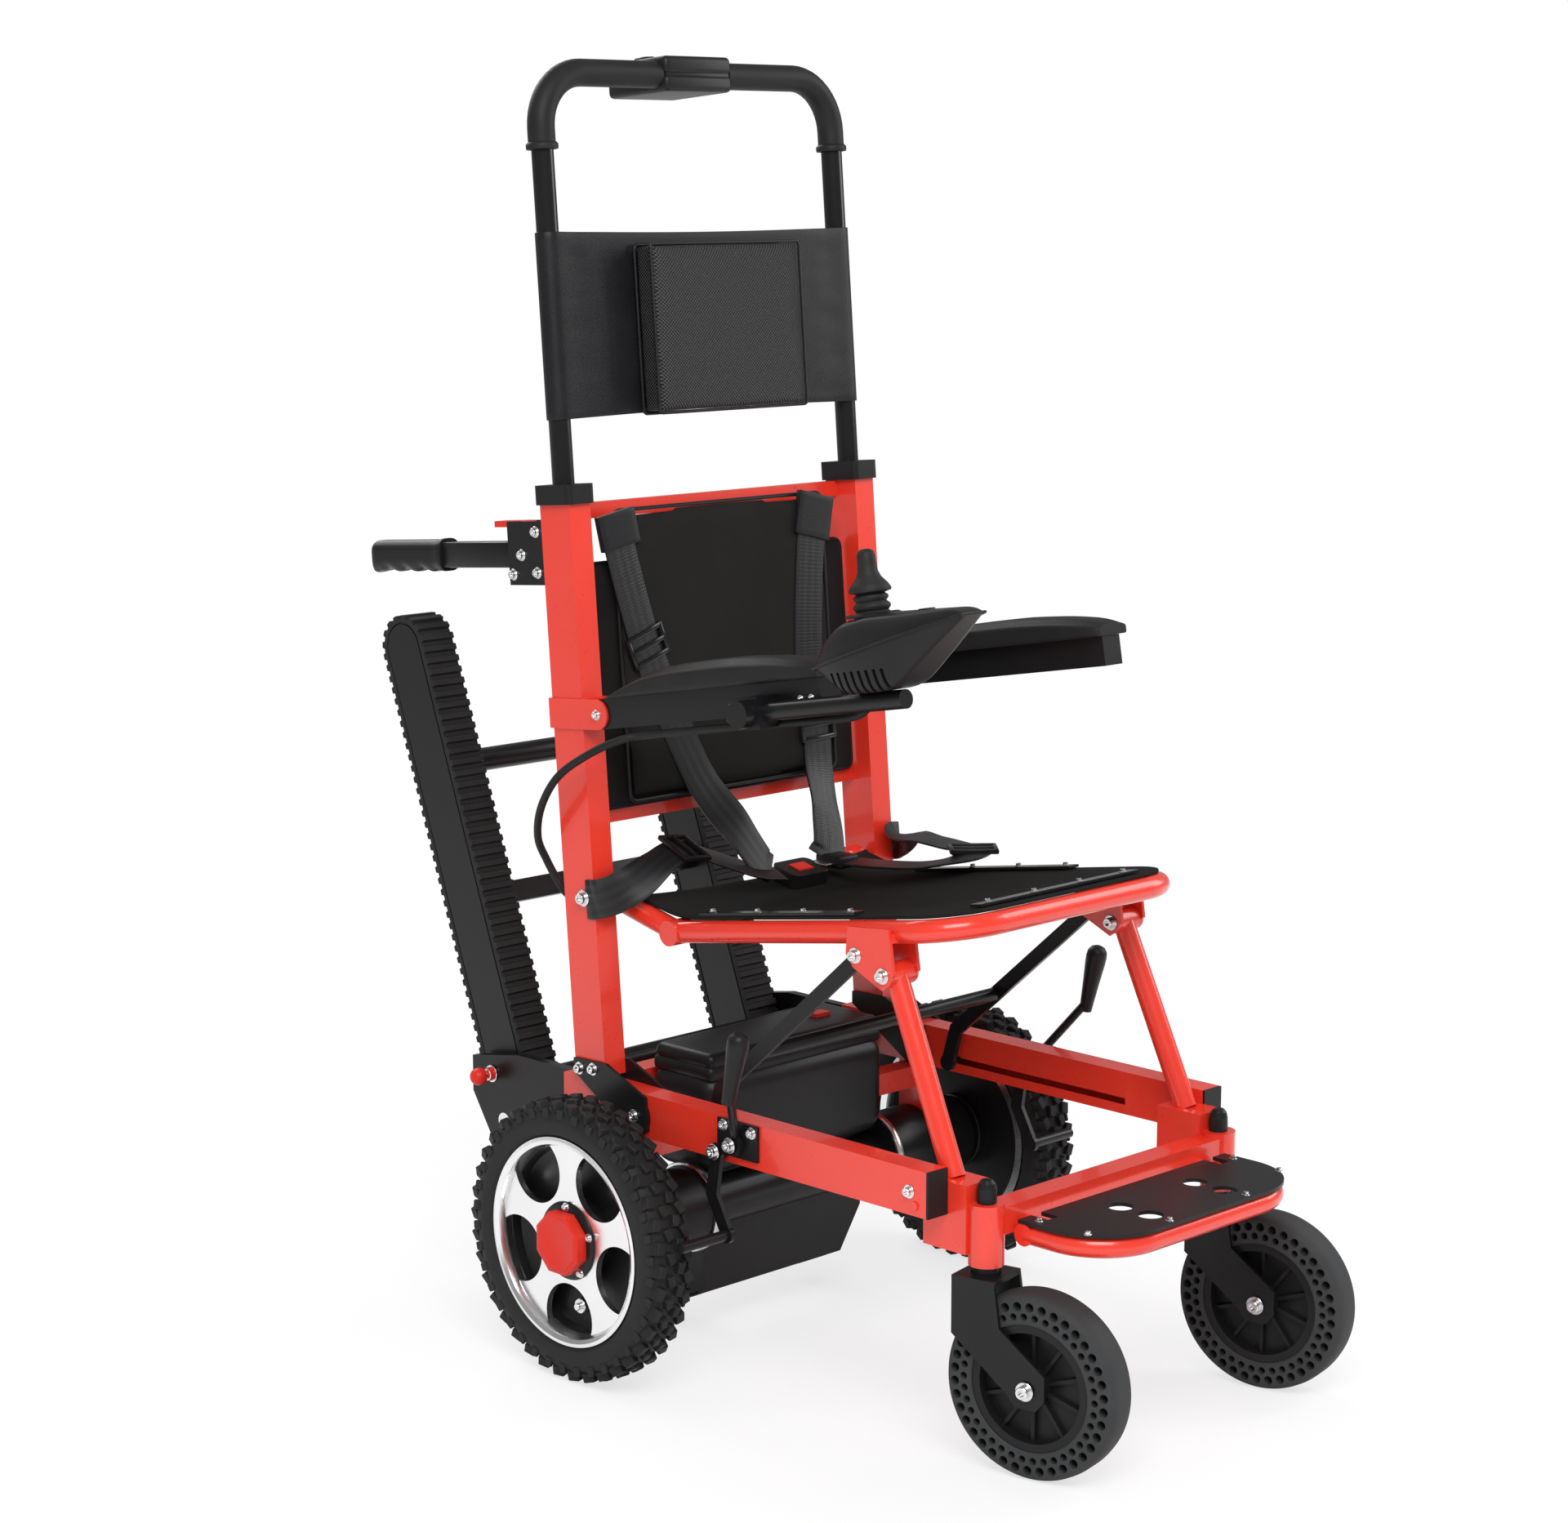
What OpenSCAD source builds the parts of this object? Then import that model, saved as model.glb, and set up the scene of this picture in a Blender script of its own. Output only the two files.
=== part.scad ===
// Folding stair climbing wheelchair with driven wheels, front casters and a tilting crawler.
// The chair faces -Y, its right side is -X, and the floor is at z = 0. Lengths are in millimetres.

/* [Rails] */
// Distance from the middle plane to the middle of each rail
rail_x = 228; // [220:1:240]
// Width of the rail tube
rail_w = 30; // [28:1:34]
// Height of the rail tube
rail_h = 50; // [46:1:54]
// Height of the middle of the rail above the floor
rail_z = 292; // [288:1:296]
// Front end of the rails
rail_front_y = -362; // [-370:1:-358]
// Rear end of the rails
rail_rear_y = 205; // [200:1:215]
// Wall of the square and rectangular tubes
wall = 2; // [1.5:0.1:3]
// Thickness of the plastic end caps
cap_t = 3; // [2:0.5:5]
// Length of the guide slot in each rail
slot_l = 262; // [240:1:280]
// Rear end of the guide slot
slot_rear_y = 12; // [6:1:20]
// Height of the guide slot
slot_h = 8; // [7:0.5:10]
// Side of the square cross tubes
cross_w = 30; // [26:1:34]

/* [Fold linkage] */
// Fold pivot of the back frame on the rail, lengthwise
fold_y = 82; // [76:1:88]
// Fold pivot of the back frame on the rail, height
fold_z = 290; // [286:1:296]
// Pivot of the front frame on the rail, lengthwise
front_y = -346; // [-350:1:-342]
// Pivot of the front frame on the rail, height
front_z = 278; // [274:1:282]
// Rearward run of the fold links
link_y = 82; // [78:1:86]
// Rise of the fold links
link_z = 224; // [218:1:230]
// Diameter of the fold pivot pins
pin_d = 10; // [8:0.5:12]

/* [Back frame] */
// Depth of the upright tubes
up_d = 50; // [46:1:54]
// Length of the upright tubes
up_len = 650; // [640:1:670]
// Backward lean of the uprights in degrees
lean = 4.6; // [3:0.1:6]
// Middle of the upright's foot, lengthwise
up_y = 157.7; // [154:0.1:162]
// Gap between the rail and the upright's foot
foot_gap = 5; // [4:0.5:7]
// Side of the two back cross bars
bar_w = 18; // [14:1:20]
// Thickness of the gusset and bracket plates
plate_t = 4; // [3:0.5:5]
// Height of the armrest pivot along the upright
arm_h = 414; // [400:1:440]
// Distance of the armrest pivot in front of the upright's middle
arm_off = 52; // [48:1:58]

/* [Push handle] */
// Diameter of the handle tube
rod_d = 25; // [22:0.5:26]
// Height of the handle bar along the upright
bar_h = 1125; // [1100:1:1150]
// Bend radius of the handle
bend_r = 62; // [50:1:75]
// Length of rod left inside each upright
rod_tail = 200; // [150:1:260]
// Diameter of the foam sleeve
foam_d = 31; // [29:0.5:34]
// Width of the handle control box
ctrl_w = 104; // [90:1:120]
// Depth of the handle control box
ctrl_l = 104; // [90:1:120]
// Height of the handle control box
ctrl_h = 42; // [38:1:48]

/* [Headrest] */
// Share of the free rods below the headrest band
head_low_share = 0.194; // [0.18:0.002:0.24]
// Share of the free rods that the headrest band covers
head_share = 0.436; // [0.40:0.002:0.45]
// Width of the headrest cushion
pad_w = 240; // [220:1:260]
// Share of the band's height that the headrest cushion takes
pad_share = 0.942; // [0.86:0.002:0.96]
// Thickness of the headrest cushion
pad_t = 34; // [28:1:40]

/* [Armrests] */
// Rise of the armrests towards the front in degrees
arm_rise = 10; // [6:0.5:12]
// Length of the armrest bar in front of its pivot
arm_l = 352; // [330:1:370]
// Height of the armrest bar
arm_bar_h = 34; // [32:1:38]
// Width of the armrest pad
arm_pad_w = 62; // [54:1:70]
// Length of the armrest pad
arm_pad_l = 330; // [310:1:340]
// Thickness of the armrest pad
arm_pad_h = 30; // [24:1:36]

/* [Controller] */
// Diameter of the controller's mounting tube
ctl_tube_d = 20; // [18:0.5:22]
// Length of the controller's mounting tube
ctl_tube_l = 252; // [240:1:264]
// Length of the controller
ctl_l = 206; // [196:1:216]
// Width of the controller
ctl_w = 78; // [70:1:84]
// Height of the controller
ctl_h = 79; // [74:1:84]
// Height of the joystick above the controller
stick_h = 66; // [58:1:74]

/* [Seat] */
// Diameter of the seat tube
seat_d = 25; // [22:0.5:27]
// Distance from the middle plane to the seat's side tubes
seat_x = 186; // [182:1:188]
// Front of the seat tube
seat_front_y = -348; // [-354:1:-340]
// Height of the seat tube's front
seat_front_z = 560; // [552:1:568]
// Lowest point of the seat's side tubes, lengthwise
seat_dip_y = 74; // [66:1:80]
// Lowest point of the seat's side tubes, height
seat_dip_z = 493; // [488:1:500]
// Bend radius of the seat tube
seat_r = 64; // [56:1:70]
// Thickness of the seat sling
sling_t = 4; // [3:0.5:6]
// Length of the saddle brackets along the tube
saddle_l = 54; // [48:1:60]

/* [Front frame] */
// Width of the front blocks
block_w = 40; // [36:1:44]
// Height of the front blocks
block_h = 74; // [68:1:80]
// Diameter of the leg tubes
leg_d = 25; // [22:0.5:26]
// Diameter of the caster head tubes
head_d = 38; // [34:1:40]
// Height of the caster head tubes
head_l = 66; // [60:1:72]
// Underside of the caster head tubes
head_z0 = 217; // [214:1:222]
// Caster swivel axis, lengthwise
head_y = -401; // [-404:1:-398]

/* [Casters] */
// Diameter of the caster wheels
caster_d = 200; // [190:1:204]
// Width of the caster tyres
caster_w = 45; // [40:1:48]
// Forward trail of the caster axle
trail = 64; // [58:1:68]
// Turn of the casters in the rest pose in degrees
caster_turn = 12; // [0:1:20]
// Diameter of the caster rim
caster_rim_d = 136; // [128:1:142]
// Number of holes in each ring of the caster tyre
cell_n = 38; // [24:1:40]

/* [Footplate] */
// Diameter of the footplate tube
foot_d = 24; // [20:0.5:26]
// Half width of the footplate tube
foot_x = 160; // [150:1:164]
// Footplate hinge, lengthwise
foot_y = -432; // [-436:1:-430]
// Footplate hinge, height
foot_z = 250; // [246:1:254]
// Length of the footplate from its hinge
foot_l = 103; // [96:1:112]
// Corner radius of the footplate tube
foot_r = 66; // [56:1:76]

/* [Drive wheels] */
// Diameter of the drive wheels
wheel_d = 322; // [310:1:326]
// Width of the drive tyres
tyre_w = 57; // [52:1:60]
// Wheel axle, lengthwise
axle_y = 95; // [92:1:98]
// Outer diameter of the wheel rim
rim_d = 238; // [230:1:244]
// Distance from the middle plane to the middle of each tyre
wheel_x = 318; // [314:1:324]
// Diameter of the wheel axle
axle_d = 17; // [15:0.5:20]
// Diameter of the motors
motor_d = 96; // [90:1:100]

/* [Battery] */
// Half width of the battery box
bat_x = 147; // [140:1:154]
// Front face of the battery box
bat_front_y = 62; // [56:1:66]
// Depth of the battery box
bat_l = 110; // [100:1:112]
// Underside of the battery box
bat_z = 196; // [192:1:198]
// Height of the battery box
bat_h = 146; // [138:1:150]
// Corner radius of the battery box
bat_r = 22; // [16:1:28]

/* [Crawler] */
// Distance from the middle plane to the middle of each crawler track
track_x = 184; // [181:1:186]
// Width of the crawler belts
belt_w = 48; // [44:1:48]
// Crawler pivot, lengthwise
track_y = 331; // [326:1:336]
// Crawler pivot, height
track_z = 230; // [226:1:236]
// Length of the upper track between its pulleys
track_l = 577; // [560:1:590]
// Backward lean of the upper track in degrees
track_lean = 20.2; // [18:0.1:23]
// Distance from the middle plane to the middle of each lower track
low_x = 105; // [102:1:108]
// Length of the lower track between its pulleys
low_l = 236; // [228:1:242]
// Slope of the lower track in degrees
low_lean = 44.7; // [43:0.1:46]
// Inner radius of the belts
belt_r = 31; // [29:0.5:32]
// Thickness of the belts
belt_t = 5; // [4:0.5:6]
// Height of the belt teeth
tooth_h = 4; // [3:0.5:5]
// Pitch of the belt teeth
tooth_p = 14; // [12:0.5:16]
// Diameter of the crawler shaft
shaft_d = 20; // [18:0.5:22]

/* [Clearances] */
// Gap between faces that move past each other
side_gap = 0.5; // [0.3:0.1:0.8]
// Play of a pin in its bore, on the diameter
fit = 0.1; // [0.06:0.02:0.16]
// Overrun of a cut
over = 2; // [1:0.5:4]

/* [Hidden] */
$fn = 64;

// Colours
red = [0.86, 0.17, 0.10];
black = [0.06, 0.06, 0.06];
rubber = [0.10, 0.10, 0.10];
cloth = [0.13, 0.12, 0.12];
alloy = [0.80, 0.80, 0.80];

// Places that follow from the sizes above
rail_in = rail_x - rail_w / 2;
rail_out = rail_x + rail_w / 2;
rail_top = rail_z + rail_h / 2;
rail_low = rail_z - rail_h / 2;
rail_len = rail_rear_y - rail_front_y;
rail_mid_y = (rail_rear_y + rail_front_y) / 2;
up_w = rail_w + 2 * side_gap;
up_in = rail_x - up_w / 2;
up_out = rail_x + up_w / 2;
up_z = rail_top + foot_gap;
seat_y = fold_y + link_y;
seat_z = fold_z + link_z;
leg_y = front_y + link_y;
leg_z = front_z + link_z;
bore_d = pin_d + fit;
slot_z = fold_z - slot_h;
slot_y = slot_rear_y - slot_l / 2;
axle_z = wheel_d / 2;
head_x = rail_in - side_gap - block_w / 2;
head_z = up_len + head_low_share * (bar_h - up_len);
head_h = head_share * (bar_h - up_len);
pad_h = pad_share * head_h;
arm_p = lean_pt(-arm_off, arm_h);

function lean_pt(y, z) = [up_y + y * cos(lean) + z * sin(lean), up_z - y * sin(lean) + z * cos(lean)];
function unit(v) = v / norm(v);
function turn(p, i) = acos(unit(p[i] - p[i - 1]) * unit(p[i + 1] - p[i]));
function trim(p, i, r) = r * tan(turn(p, i) / 2);
function scaled(shares, a, b) = [for (q = shares) [q[0] * a, q[1] * b]];

// Block centred on p
module box(p, s) {
  translate(p) cube(s, center = true);
}

// Round bar along X, centred on p
module xcyl(p, w, d) {
  translate(p) rotate([0, 90, 0]) cylinder(h = w, d = d, center = true);
}

// Outline in Y and Z, made w wide about x
module yz(x, w) {
  translate([x - w / 2, 0, 0]) rotate([90, 0, 90]) linear_extrude(height = w) children();
}

// Round bar from a to b
module rod(a, b, d) {
  v = b - a;
  translate(a) rotate([0, acos(v[2] / norm(v)), atan2(v[1], v[0])]) cylinder(h = norm(v), d = d);
}

// Elbow of radius r at b, on the way from a to c
module elbow(a, b, c, r, d) {
  u = unit(b - a);
  t = acos(u * unit(c - b));
  n = unit(cross(u, unit(c - b)));
  e = cross(u, n);
  o = b - u * r * tan(t / 2) - e * r;
  multmatrix([[e[0], u[0], n[0], o[0]], [e[1], u[1], n[1], o[1]], [e[2], u[2], n[2], o[2]], [0, 0, 0, 1]])
    rotate_extrude(angle = t) translate([r, 0]) circle(d = d);
}

// Tube bent along the points p with one radius
module bent(p, r, d) {
  n = len(p) - 1;
  for (i = [0:n - 1]) {
    u = unit(p[i + 1] - p[i]);
    a = i == 0 ? p[i] : p[i] + u * trim(p, i, r);
    b = i == n - 1 ? p[i + 1] : p[i + 1] - u * trim(p, i + 1, r);
    rod(a, b, d);
  }
  for (i = [1:n - 1]) elbow(p[i - 1], p[i], p[i + 1], r, d);
}

// Block with round upright edges
module round_box(p, s, r) {
  translate(p) {
    cube([s[0], s[1] - 2 * r, s[2]], center = true);
    cube([s[0] - 2 * r, s[1], s[2]], center = true);
    for (a = [-1, 1], b = [-1, 1])
      translate([a * (s[0] / 2 - r), b * (s[1] / 2 - r), 0]) cylinder(h = s[2], r = r, center = true);
  }
}

// Frame of the leaning uprights: z runs up the tube and y runs to the rear
module leaning() {
  translate([0, up_y, up_z]) rotate([-lean, 0, 0]) children();
}

// Frame of an armrest: the bar runs along -y from its pivot
module on_arm() {
  translate([0, arm_p[0], arm_p[1]]) rotate([-arm_rise, 0, 0]) children();
}

// Small sizes of the chassis
stub_h = 26;
stub_t = 28;
stub_z = rail_low - foot_gap - stub_h;
gear_d = 60;
hang_t = 12;
hang_l = 40;
shield_t = 24;
shield_low_z = 52;
ring_t = 7;
ring_d = motor_d + ring_t;
motor_in_x = bat_x + over / 2;
motor_out_x = wheel_x - tyre_w / 2 - 2 * over;
hub_out = 20;
axle_x = wheel_x + hub_out - side_gap;
switch_x = 84;
switch_y = bat_front_y + bat_l / 2;
switch_l = 26;
switch_w = 16;
switch_h = 8;
lid_inset = 9;
lid_h = 18;
bat_mid_y = bat_front_y + bat_l / 2;
bat_top = bat_z + bat_h;
shield_shares = [[-1, 0], [0.74, 0], [1, 0.36], [1, 1], [-1, 1]];

// Rails, cross tube, battery stubs and motor hangers, welded together
module chassis_frame() color(red) {
  for (s = [-1, 1]) {
    difference() {
      box([s * rail_x, rail_mid_y, rail_z], [rail_w, rail_len, rail_h]);
      box([s * rail_x, rail_mid_y, rail_z], [rail_w - 2 * wall, rail_len + over, rail_h - 2 * wall]);
      box([s * rail_in, slot_y, slot_z], [3 * wall, slot_l, slot_h]);
      xcyl([s * rail_x, fold_y, fold_z], rail_w + over, bore_d);
      xcyl([s * rail_x, front_y, front_z], rail_w + over, bore_d);
    }
    box([s * (rail_x - hang_t / 2 + bat_x) / 2, axle_y, stub_z + stub_h / 2],
      [rail_x - hang_t / 2 - bat_x, stub_t, stub_h]);
    difference() {
      box([s * rail_x, axle_y, (rail_low + axle_z) / 2], [hang_t, hang_l, rail_low - axle_z]);
      xcyl([s * rail_x, axle_y, axle_z], 2 * hang_t, motor_d);
    }
  }
  box([0, rail_rear_y - cross_w / 2, rail_z], [2 * rail_in, cross_w, cross_w]);
}

// Plastic caps in the front ends of the rails
module rail_caps() color(black) {
  for (s = [-1, 1]) {
    box([s * rail_x, rail_front_y - cap_t / 2, rail_z], [rail_w, cap_t, rail_h]);
    box([s * rail_x, rail_front_y + cap_t, rail_z], [rail_w - 2 * wall, 2 * cap_t, rail_h - 2 * wall]);
  }
}

// Battery box with its lid and the pocket of the power switch
module battery_case() color(black) {
  difference() {
    union() {
      round_box([0, bat_mid_y, bat_top - lid_h - (bat_h - lid_h) / 2], [2 * bat_x, bat_l, bat_h - lid_h], bat_r);
      round_box([0, bat_mid_y, bat_top - lid_h / 2],
        [2 * (bat_x - lid_inset), bat_l - 2 * lid_inset, lid_h], bat_r - lid_inset);
    }
    box([switch_x, switch_y, bat_top], [switch_l, switch_w, 2 * switch_h]);
  }
}

// Power rocker on the battery lid
module power_switch() color(red) {
  difference() {
    xw = switch_l - 2 * side_gap;
    translate([switch_x, switch_y, bat_top - switch_h / 4]) rotate([90, 0, 0])
      cylinder(h = switch_w - 2 * side_gap, d = xw, center = true);
    box([switch_x, switch_y, bat_top - switch_l], [switch_l + over, switch_l, 2 * (switch_l - switch_h / 2)]);
    box([switch_x, switch_y, bat_top + switch_l], [switch_l + over, switch_l, 2 * (switch_l - switch_h / 2)]);
  }
  translate([switch_x, switch_y, bat_top - switch_h / 4]) rotate([90, 0, 0])
    cylinder(h = switch_w - 2 * side_gap, d = 2 * (switch_h * 3 / 4 - side_gap), center = true);
}

// Motors, their end rings, the axles and the front shield of the gear housing
module drive_unit() color(black) {
  translate([0, bat_mid_y, shield_low_z]) rotate([90, 0, 0]) linear_extrude(height = shield_t)
    polygon(scaled(shield_shares, bat_x - lid_inset - ring_t, bat_z - shield_low_z));
  for (s = [-1, 1]) {
    xcyl([s * (motor_in_x + motor_out_x) / 2, axle_y, axle_z], motor_out_x - motor_in_x, motor_d);
    xcyl([s * (motor_in_x + ring_t / 2), axle_y, axle_z], ring_t, ring_d);
    xcyl([s * (motor_out_x + axle_x) / 2, axle_y, axle_z], axle_x - motor_out_x, axle_d);
  }
  xcyl([0, axle_y, axle_z], 2 * motor_in_x, gear_d);
}

// Small sizes of the crawler
arm_plate_t = 12;
arm_plate_x = rail_in + wall + (rail_w - 2 * wall) / 2 - arm_plate_t / 2;
arm_in_l = 40;
tie_d = 28;
tie_y = track_y - 66;
low_w = 40;
side_t = 4;
plate_r = 29;
bed_t = 5;
bed_w = belt_w - 2 * side_t - over;
pulley_d = 2 * belt_r - over / 2;
hub_d = shaft_d + 3 * belt_t;
low_plate_x = low_w / 2 + side_t / 2 + side_gap;
low_share = 0.56;
arm_shares = [[0, low_share], [0, 1], [0.62, 1], [1, 0.86], [1, 0.45], [0.86, 0], [0.64, 0], [0.45, 0.40],
  [0.20, low_share]];
arm_plate_l = 222;
arm_plate_h = (rail_h - 2 * wall) / (1 - low_share);
arm_low_z = rail_low + wall - arm_plate_h * low_share;

// Point of a belt loop at arc length q, pushed out by e
function loop_pt(q, l, r, e) =
  q < l ? [r + e, q] :
  q < l + PI * r ? [(r + e) * cos((q - l) / r * 180 / PI), l + (r + e) * sin((q - l) / r * 180 / PI)] :
  q < 2 * l + PI * r ? [-r - e, 2 * l + PI * r - q] :
  [-(r + e) * cos((q - 2 * l - PI * r) / r * 180 / PI), -(r + e) * sin((q - 2 * l - PI * r) / r * 180 / PI)];
tooth_shares = [[0, 0], [0.1, 1], [0.55, 1], [0.65, 0]];

// Toothed outline of a belt around two pulleys a length l apart
function belt_pts(l, r) =
  let (n = round((2 * l + 2 * PI * r) / tooth_p), p = (2 * l + 2 * PI * r) / n)
  [for (i = [0:n - 1], t = tooth_shares) loop_pt((i + t[0]) * p, l, r, t[1] * tooth_h)];

// Slot shape of half width r around two centres a length l apart
module loop_solid(l, r, w) {
  translate([-w / 2, -r, 0]) cube([w, 2 * r, l]);
  for (z = [0, l]) xcyl([0, 0, z], w, 2 * r);
}

// One belt about its lower pulley, running up z
module belt(l, w) {
  difference() {
    yz(0, w) polygon(belt_pts(l, belt_r + belt_t));
    loop_solid(l, belt_r, w + over);
  }
}

// Frame of the upper track: z runs from its pivot to its top pulley
module on_track() {
  translate([0, track_y, track_z]) rotate([-track_lean, 0, 0]) children();
}

// Frame of the lower track: z runs from the pivot to the nose pulley
module on_low() {
  translate([0, track_y, track_z]) rotate([180 - low_lean, 0, 0]) children();
}

// Arms behind the rails and the side plates and slide beds of the lower tracks
module track_base() color(black) difference() {
  union() {
    for (s = [-1, 1]) {
      translate([0, rail_rear_y - arm_in_l, arm_low_z]) yz(s * arm_plate_x, arm_plate_t)
        polygon(scaled(arm_shares, arm_plate_l, arm_plate_h));
      on_low() {
        for (t = [-1, 1]) translate([s * low_x + t * low_plate_x, 0, 0]) loop_solid(low_l, plate_r, side_t);
        for (t = [-1, 1]) box([s * low_x, t * (belt_r - bed_t / 2), low_l / 2],
          [low_w + side_t, bed_t, low_l - 2 * belt_r]);
        xcyl([s * low_x, 0, low_l], low_w + side_t, pulley_d);
      }
      for (t = [-1, 1]) yz(s * low_x + t * low_plate_x, side_t)
        polygon([[tie_y - tie_d / 2, rail_z], [tie_y + tie_d / 2, rail_z], [track_y, track_z], [tie_y, track_z]]);
    }
    xcyl([0, tie_y, rail_z], 2 * (arm_plate_x - arm_plate_t / 2), tie_d);
  }
  xcyl([0, track_y, track_z], 3 * rail_x, shaft_d + fit);
  for (s = [-1, 1]) xcyl([s * arm_plate_x, pin_y, pin_z], 2 * arm_plate_t, knob_stem_d + fit);
}

// Belts of the lower tracks
module lower_belts() color(rubber) {
  for (s = [-1, 1]) translate([s * low_x, 0, 0]) on_low() belt(low_l, low_w);
}

// Crawler shaft with its four pulleys
module drive_shaft() color(alloy) {
  xcyl([0, track_y, track_z], 2 * (arm_plate_x + arm_plate_t / 2), shaft_d);
  for (s = [-1, 1]) {
    xcyl([s * track_x, track_y, track_z], bed_w - over, pulley_d);
    xcyl([s * low_x, track_y, track_z], low_w - over, pulley_d);
  }
}

// Side plates, slide beds and cross bars of the tilting tracks
plate_x = belt_w / 2 - side_t / 2;
round_bar_z = 430;
flat_bar_z = 265;
flat_bar_h = 26;
flat_bar_t = 16;
stop_slot_w = 12;
module track_frame() color(black) on_track() difference() {
  union() {
    for (s = [-1, 1]) {
      for (t = [-1, 1]) translate([s * track_x + t * plate_x, 0, 0]) loop_solid(track_l, plate_r, side_t);
      for (t = [-1, 1]) box([s * track_x, t * (belt_r - bed_t / 2), track_l / 2],
        [2 * plate_x, bed_t, track_l - 2 * belt_r]);
      xcyl([s * track_x, 0, track_l], 2 * plate_x, pulley_d);
    }
    xcyl([0, 0, round_bar_z], 2 * track_x - belt_w, tie_d);
    box([0, 0, flat_bar_z], [2 * track_x - belt_w, flat_bar_t, flat_bar_h]);
  }
  xcyl([0, 0, 0], 3 * track_x, shaft_d + fit);
}

// Belts of the tilting tracks
module track_belts() color(rubber) {
  for (s = [-1, 1]) translate([s * track_x, 0, 0]) on_track() belt(track_l, belt_w);
}

// Index plunger with its red ball on the outside of each arm
knob_d = 21;
knob_stem_d = 8;
knob_x = 249;
pin_up = 58;
pin_y = track_y + pin_up * sin(track_lean);
pin_z = track_z + pin_up * cos(track_lean);
pin_in = arm_plate_x - arm_plate_t / 2 - knob_x;
pin_r = knob_stem_d / 2;
pin_pts = concat([[0, pin_in], [pin_r, pin_in], [pin_r, pin_in + arm_plate_t], [2 * pin_r, pin_in + arm_plate_t],
  [2 * pin_r, pin_in + arm_plate_t + knob_stem_d], [pin_r, pin_in + arm_plate_t + knob_stem_d],
  [pin_r, -knob_d / 2 * sin(60)]], [for (t = [-60:15:75]) knob_d / 2 * [cos(t), sin(t)]], [[0, knob_d / 2]]);
module track_pin(s) color(red) translate([s * knob_x, pin_y, pin_z]) rotate([0, s * 90, 0])
  rotate_extrude() polygon(pin_pts);
module track_pin_r() track_pin(-1);
module track_pin_l() track_pin(1);

// Small sizes of the brakes
brake_y = -85;
brake_z = 292;
brake_plate_l = 62;
brake_plate_h = 40;
brake_pin_d = 10;
brake_hub_d = 24;
brake_hub_t = 6;
shoe_y = -60;
shoe_z = 280;
shoe_hub_d = 20;
shoe_w = 16;
shoe_run_y = -75;
shoe_run_z = 188;
shoe_knee_y = -52;
shoe_knee_z = 230;
shoe_bar_d = 12;
shoe_x = 322;
lever_knee = [294, -123, 364];
lever_d = 10;
lever_grip_d = 14;
lever_top_d = 23;
lever_grip_l = 60;
lever_tilt = 13;
bracket_x = rail_out + plate_t;
brake_x = bracket_x + 3 * side_gap + brake_hub_t / 2;

// Flat bar along the points p in a plane of constant x, mitred at its bends, with a round eye at each end
eye_share = 1.17;
function across(p, i) = let (v = p[i + 1] - p[i]) [-v[1], v[0]] / norm(v);
function mitre(p, i, w) = i == 0 ? across(p, 0) * w / 2 : i == len(p) - 1 ? across(p, i - 1) * w / 2 :
  let (m = across(p, i - 1) + across(p, i)) m / (m * m) * w;
module strip(x, t, p, w) {
  n = len(p);
  yz(x, t) polygon(concat([for (i = [0:n - 1]) p[i] + mitre(p, i, w)],
    [for (i = [n - 1:-1:0]) p[i] - mitre(p, i, w)]));
  for (q = [p[0], p[n - 1]]) xcyl([x, q[0], q[1]], t + side_gap, w * eye_share);
}

// Plates on the rails with the pins of the brake levers and shoes
module brake_brackets() color(black) {
  for (s = [-1, 1]) {
    box([s * (rail_out + plate_t / 2), brake_y, brake_z + plate_t], [plate_t, brake_plate_l, brake_plate_h]);
    xcyl([s * (bracket_x + 3 * side_gap / 2), brake_y, brake_z], 3 * side_gap, brake_hub_d - 2 * over);
    xcyl([s * (bracket_x + brake_hub_t), brake_y, brake_z], 2 * brake_hub_t, brake_pin_d);
    xcyl([s * (rail_out + plate_t / 2), shoe_y, shoe_z], plate_t, shoe_hub_d);
    xcyl([s * (bracket_x + 3 * side_gap / 2), shoe_y, shoe_z], 3 * side_gap, shoe_hub_d - 2 * over);
    xcyl([s * (bracket_x + brake_hub_t), shoe_y, shoe_z], 2 * brake_hub_t, brake_pin_d);
  }
}

// Hand lever of a parking brake
module brake_lever(s) color(black) {
  difference() {
    union() {
      xcyl([s * (brake_x + side_gap), brake_y, brake_z], brake_hub_t, brake_hub_d);
      rod([s * (brake_x + side_gap), brake_y - over, brake_z + brake_hub_d / 2 - over],
        [s * lever_knee[0], lever_knee[1], lever_knee[2]], lever_d);
    }
    xcyl([s * brake_x, brake_y, brake_z], 3 * brake_hub_t, brake_pin_d + fit);
  }
  translate([s * lever_knee[0], lever_knee[1], lever_knee[2]]) rotate([lever_tilt, 0, 0])
    translate([0, 0, -lever_d]) cylinder(h = lever_grip_l + lever_d, d1 = lever_grip_d, d2 = lever_top_d);
}
module brake_lever_r() brake_lever(-1);
module brake_lever_l() brake_lever(1);

// Brake shoe with the bar that presses on the tyre
module brake_shoe(s) color(black) {
  x = s * (brake_x + side_gap);
  difference() {
    strip(x, brake_hub_t - side_gap, [[shoe_y, shoe_z], [shoe_knee_y, shoe_knee_z], [shoe_run_y, shoe_run_z]], shoe_w);
    xcyl([x, shoe_y, shoe_z], 3 * brake_hub_t, brake_pin_d + fit);
  }
  xcyl([s * (brake_x + shoe_x) / 2, shoe_run_y, shoe_run_z], shoe_x - brake_x, shoe_bar_d);
}
module brake_shoe_r() brake_shoe(-1);
module brake_shoe_l() brake_shoe(1);

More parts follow.
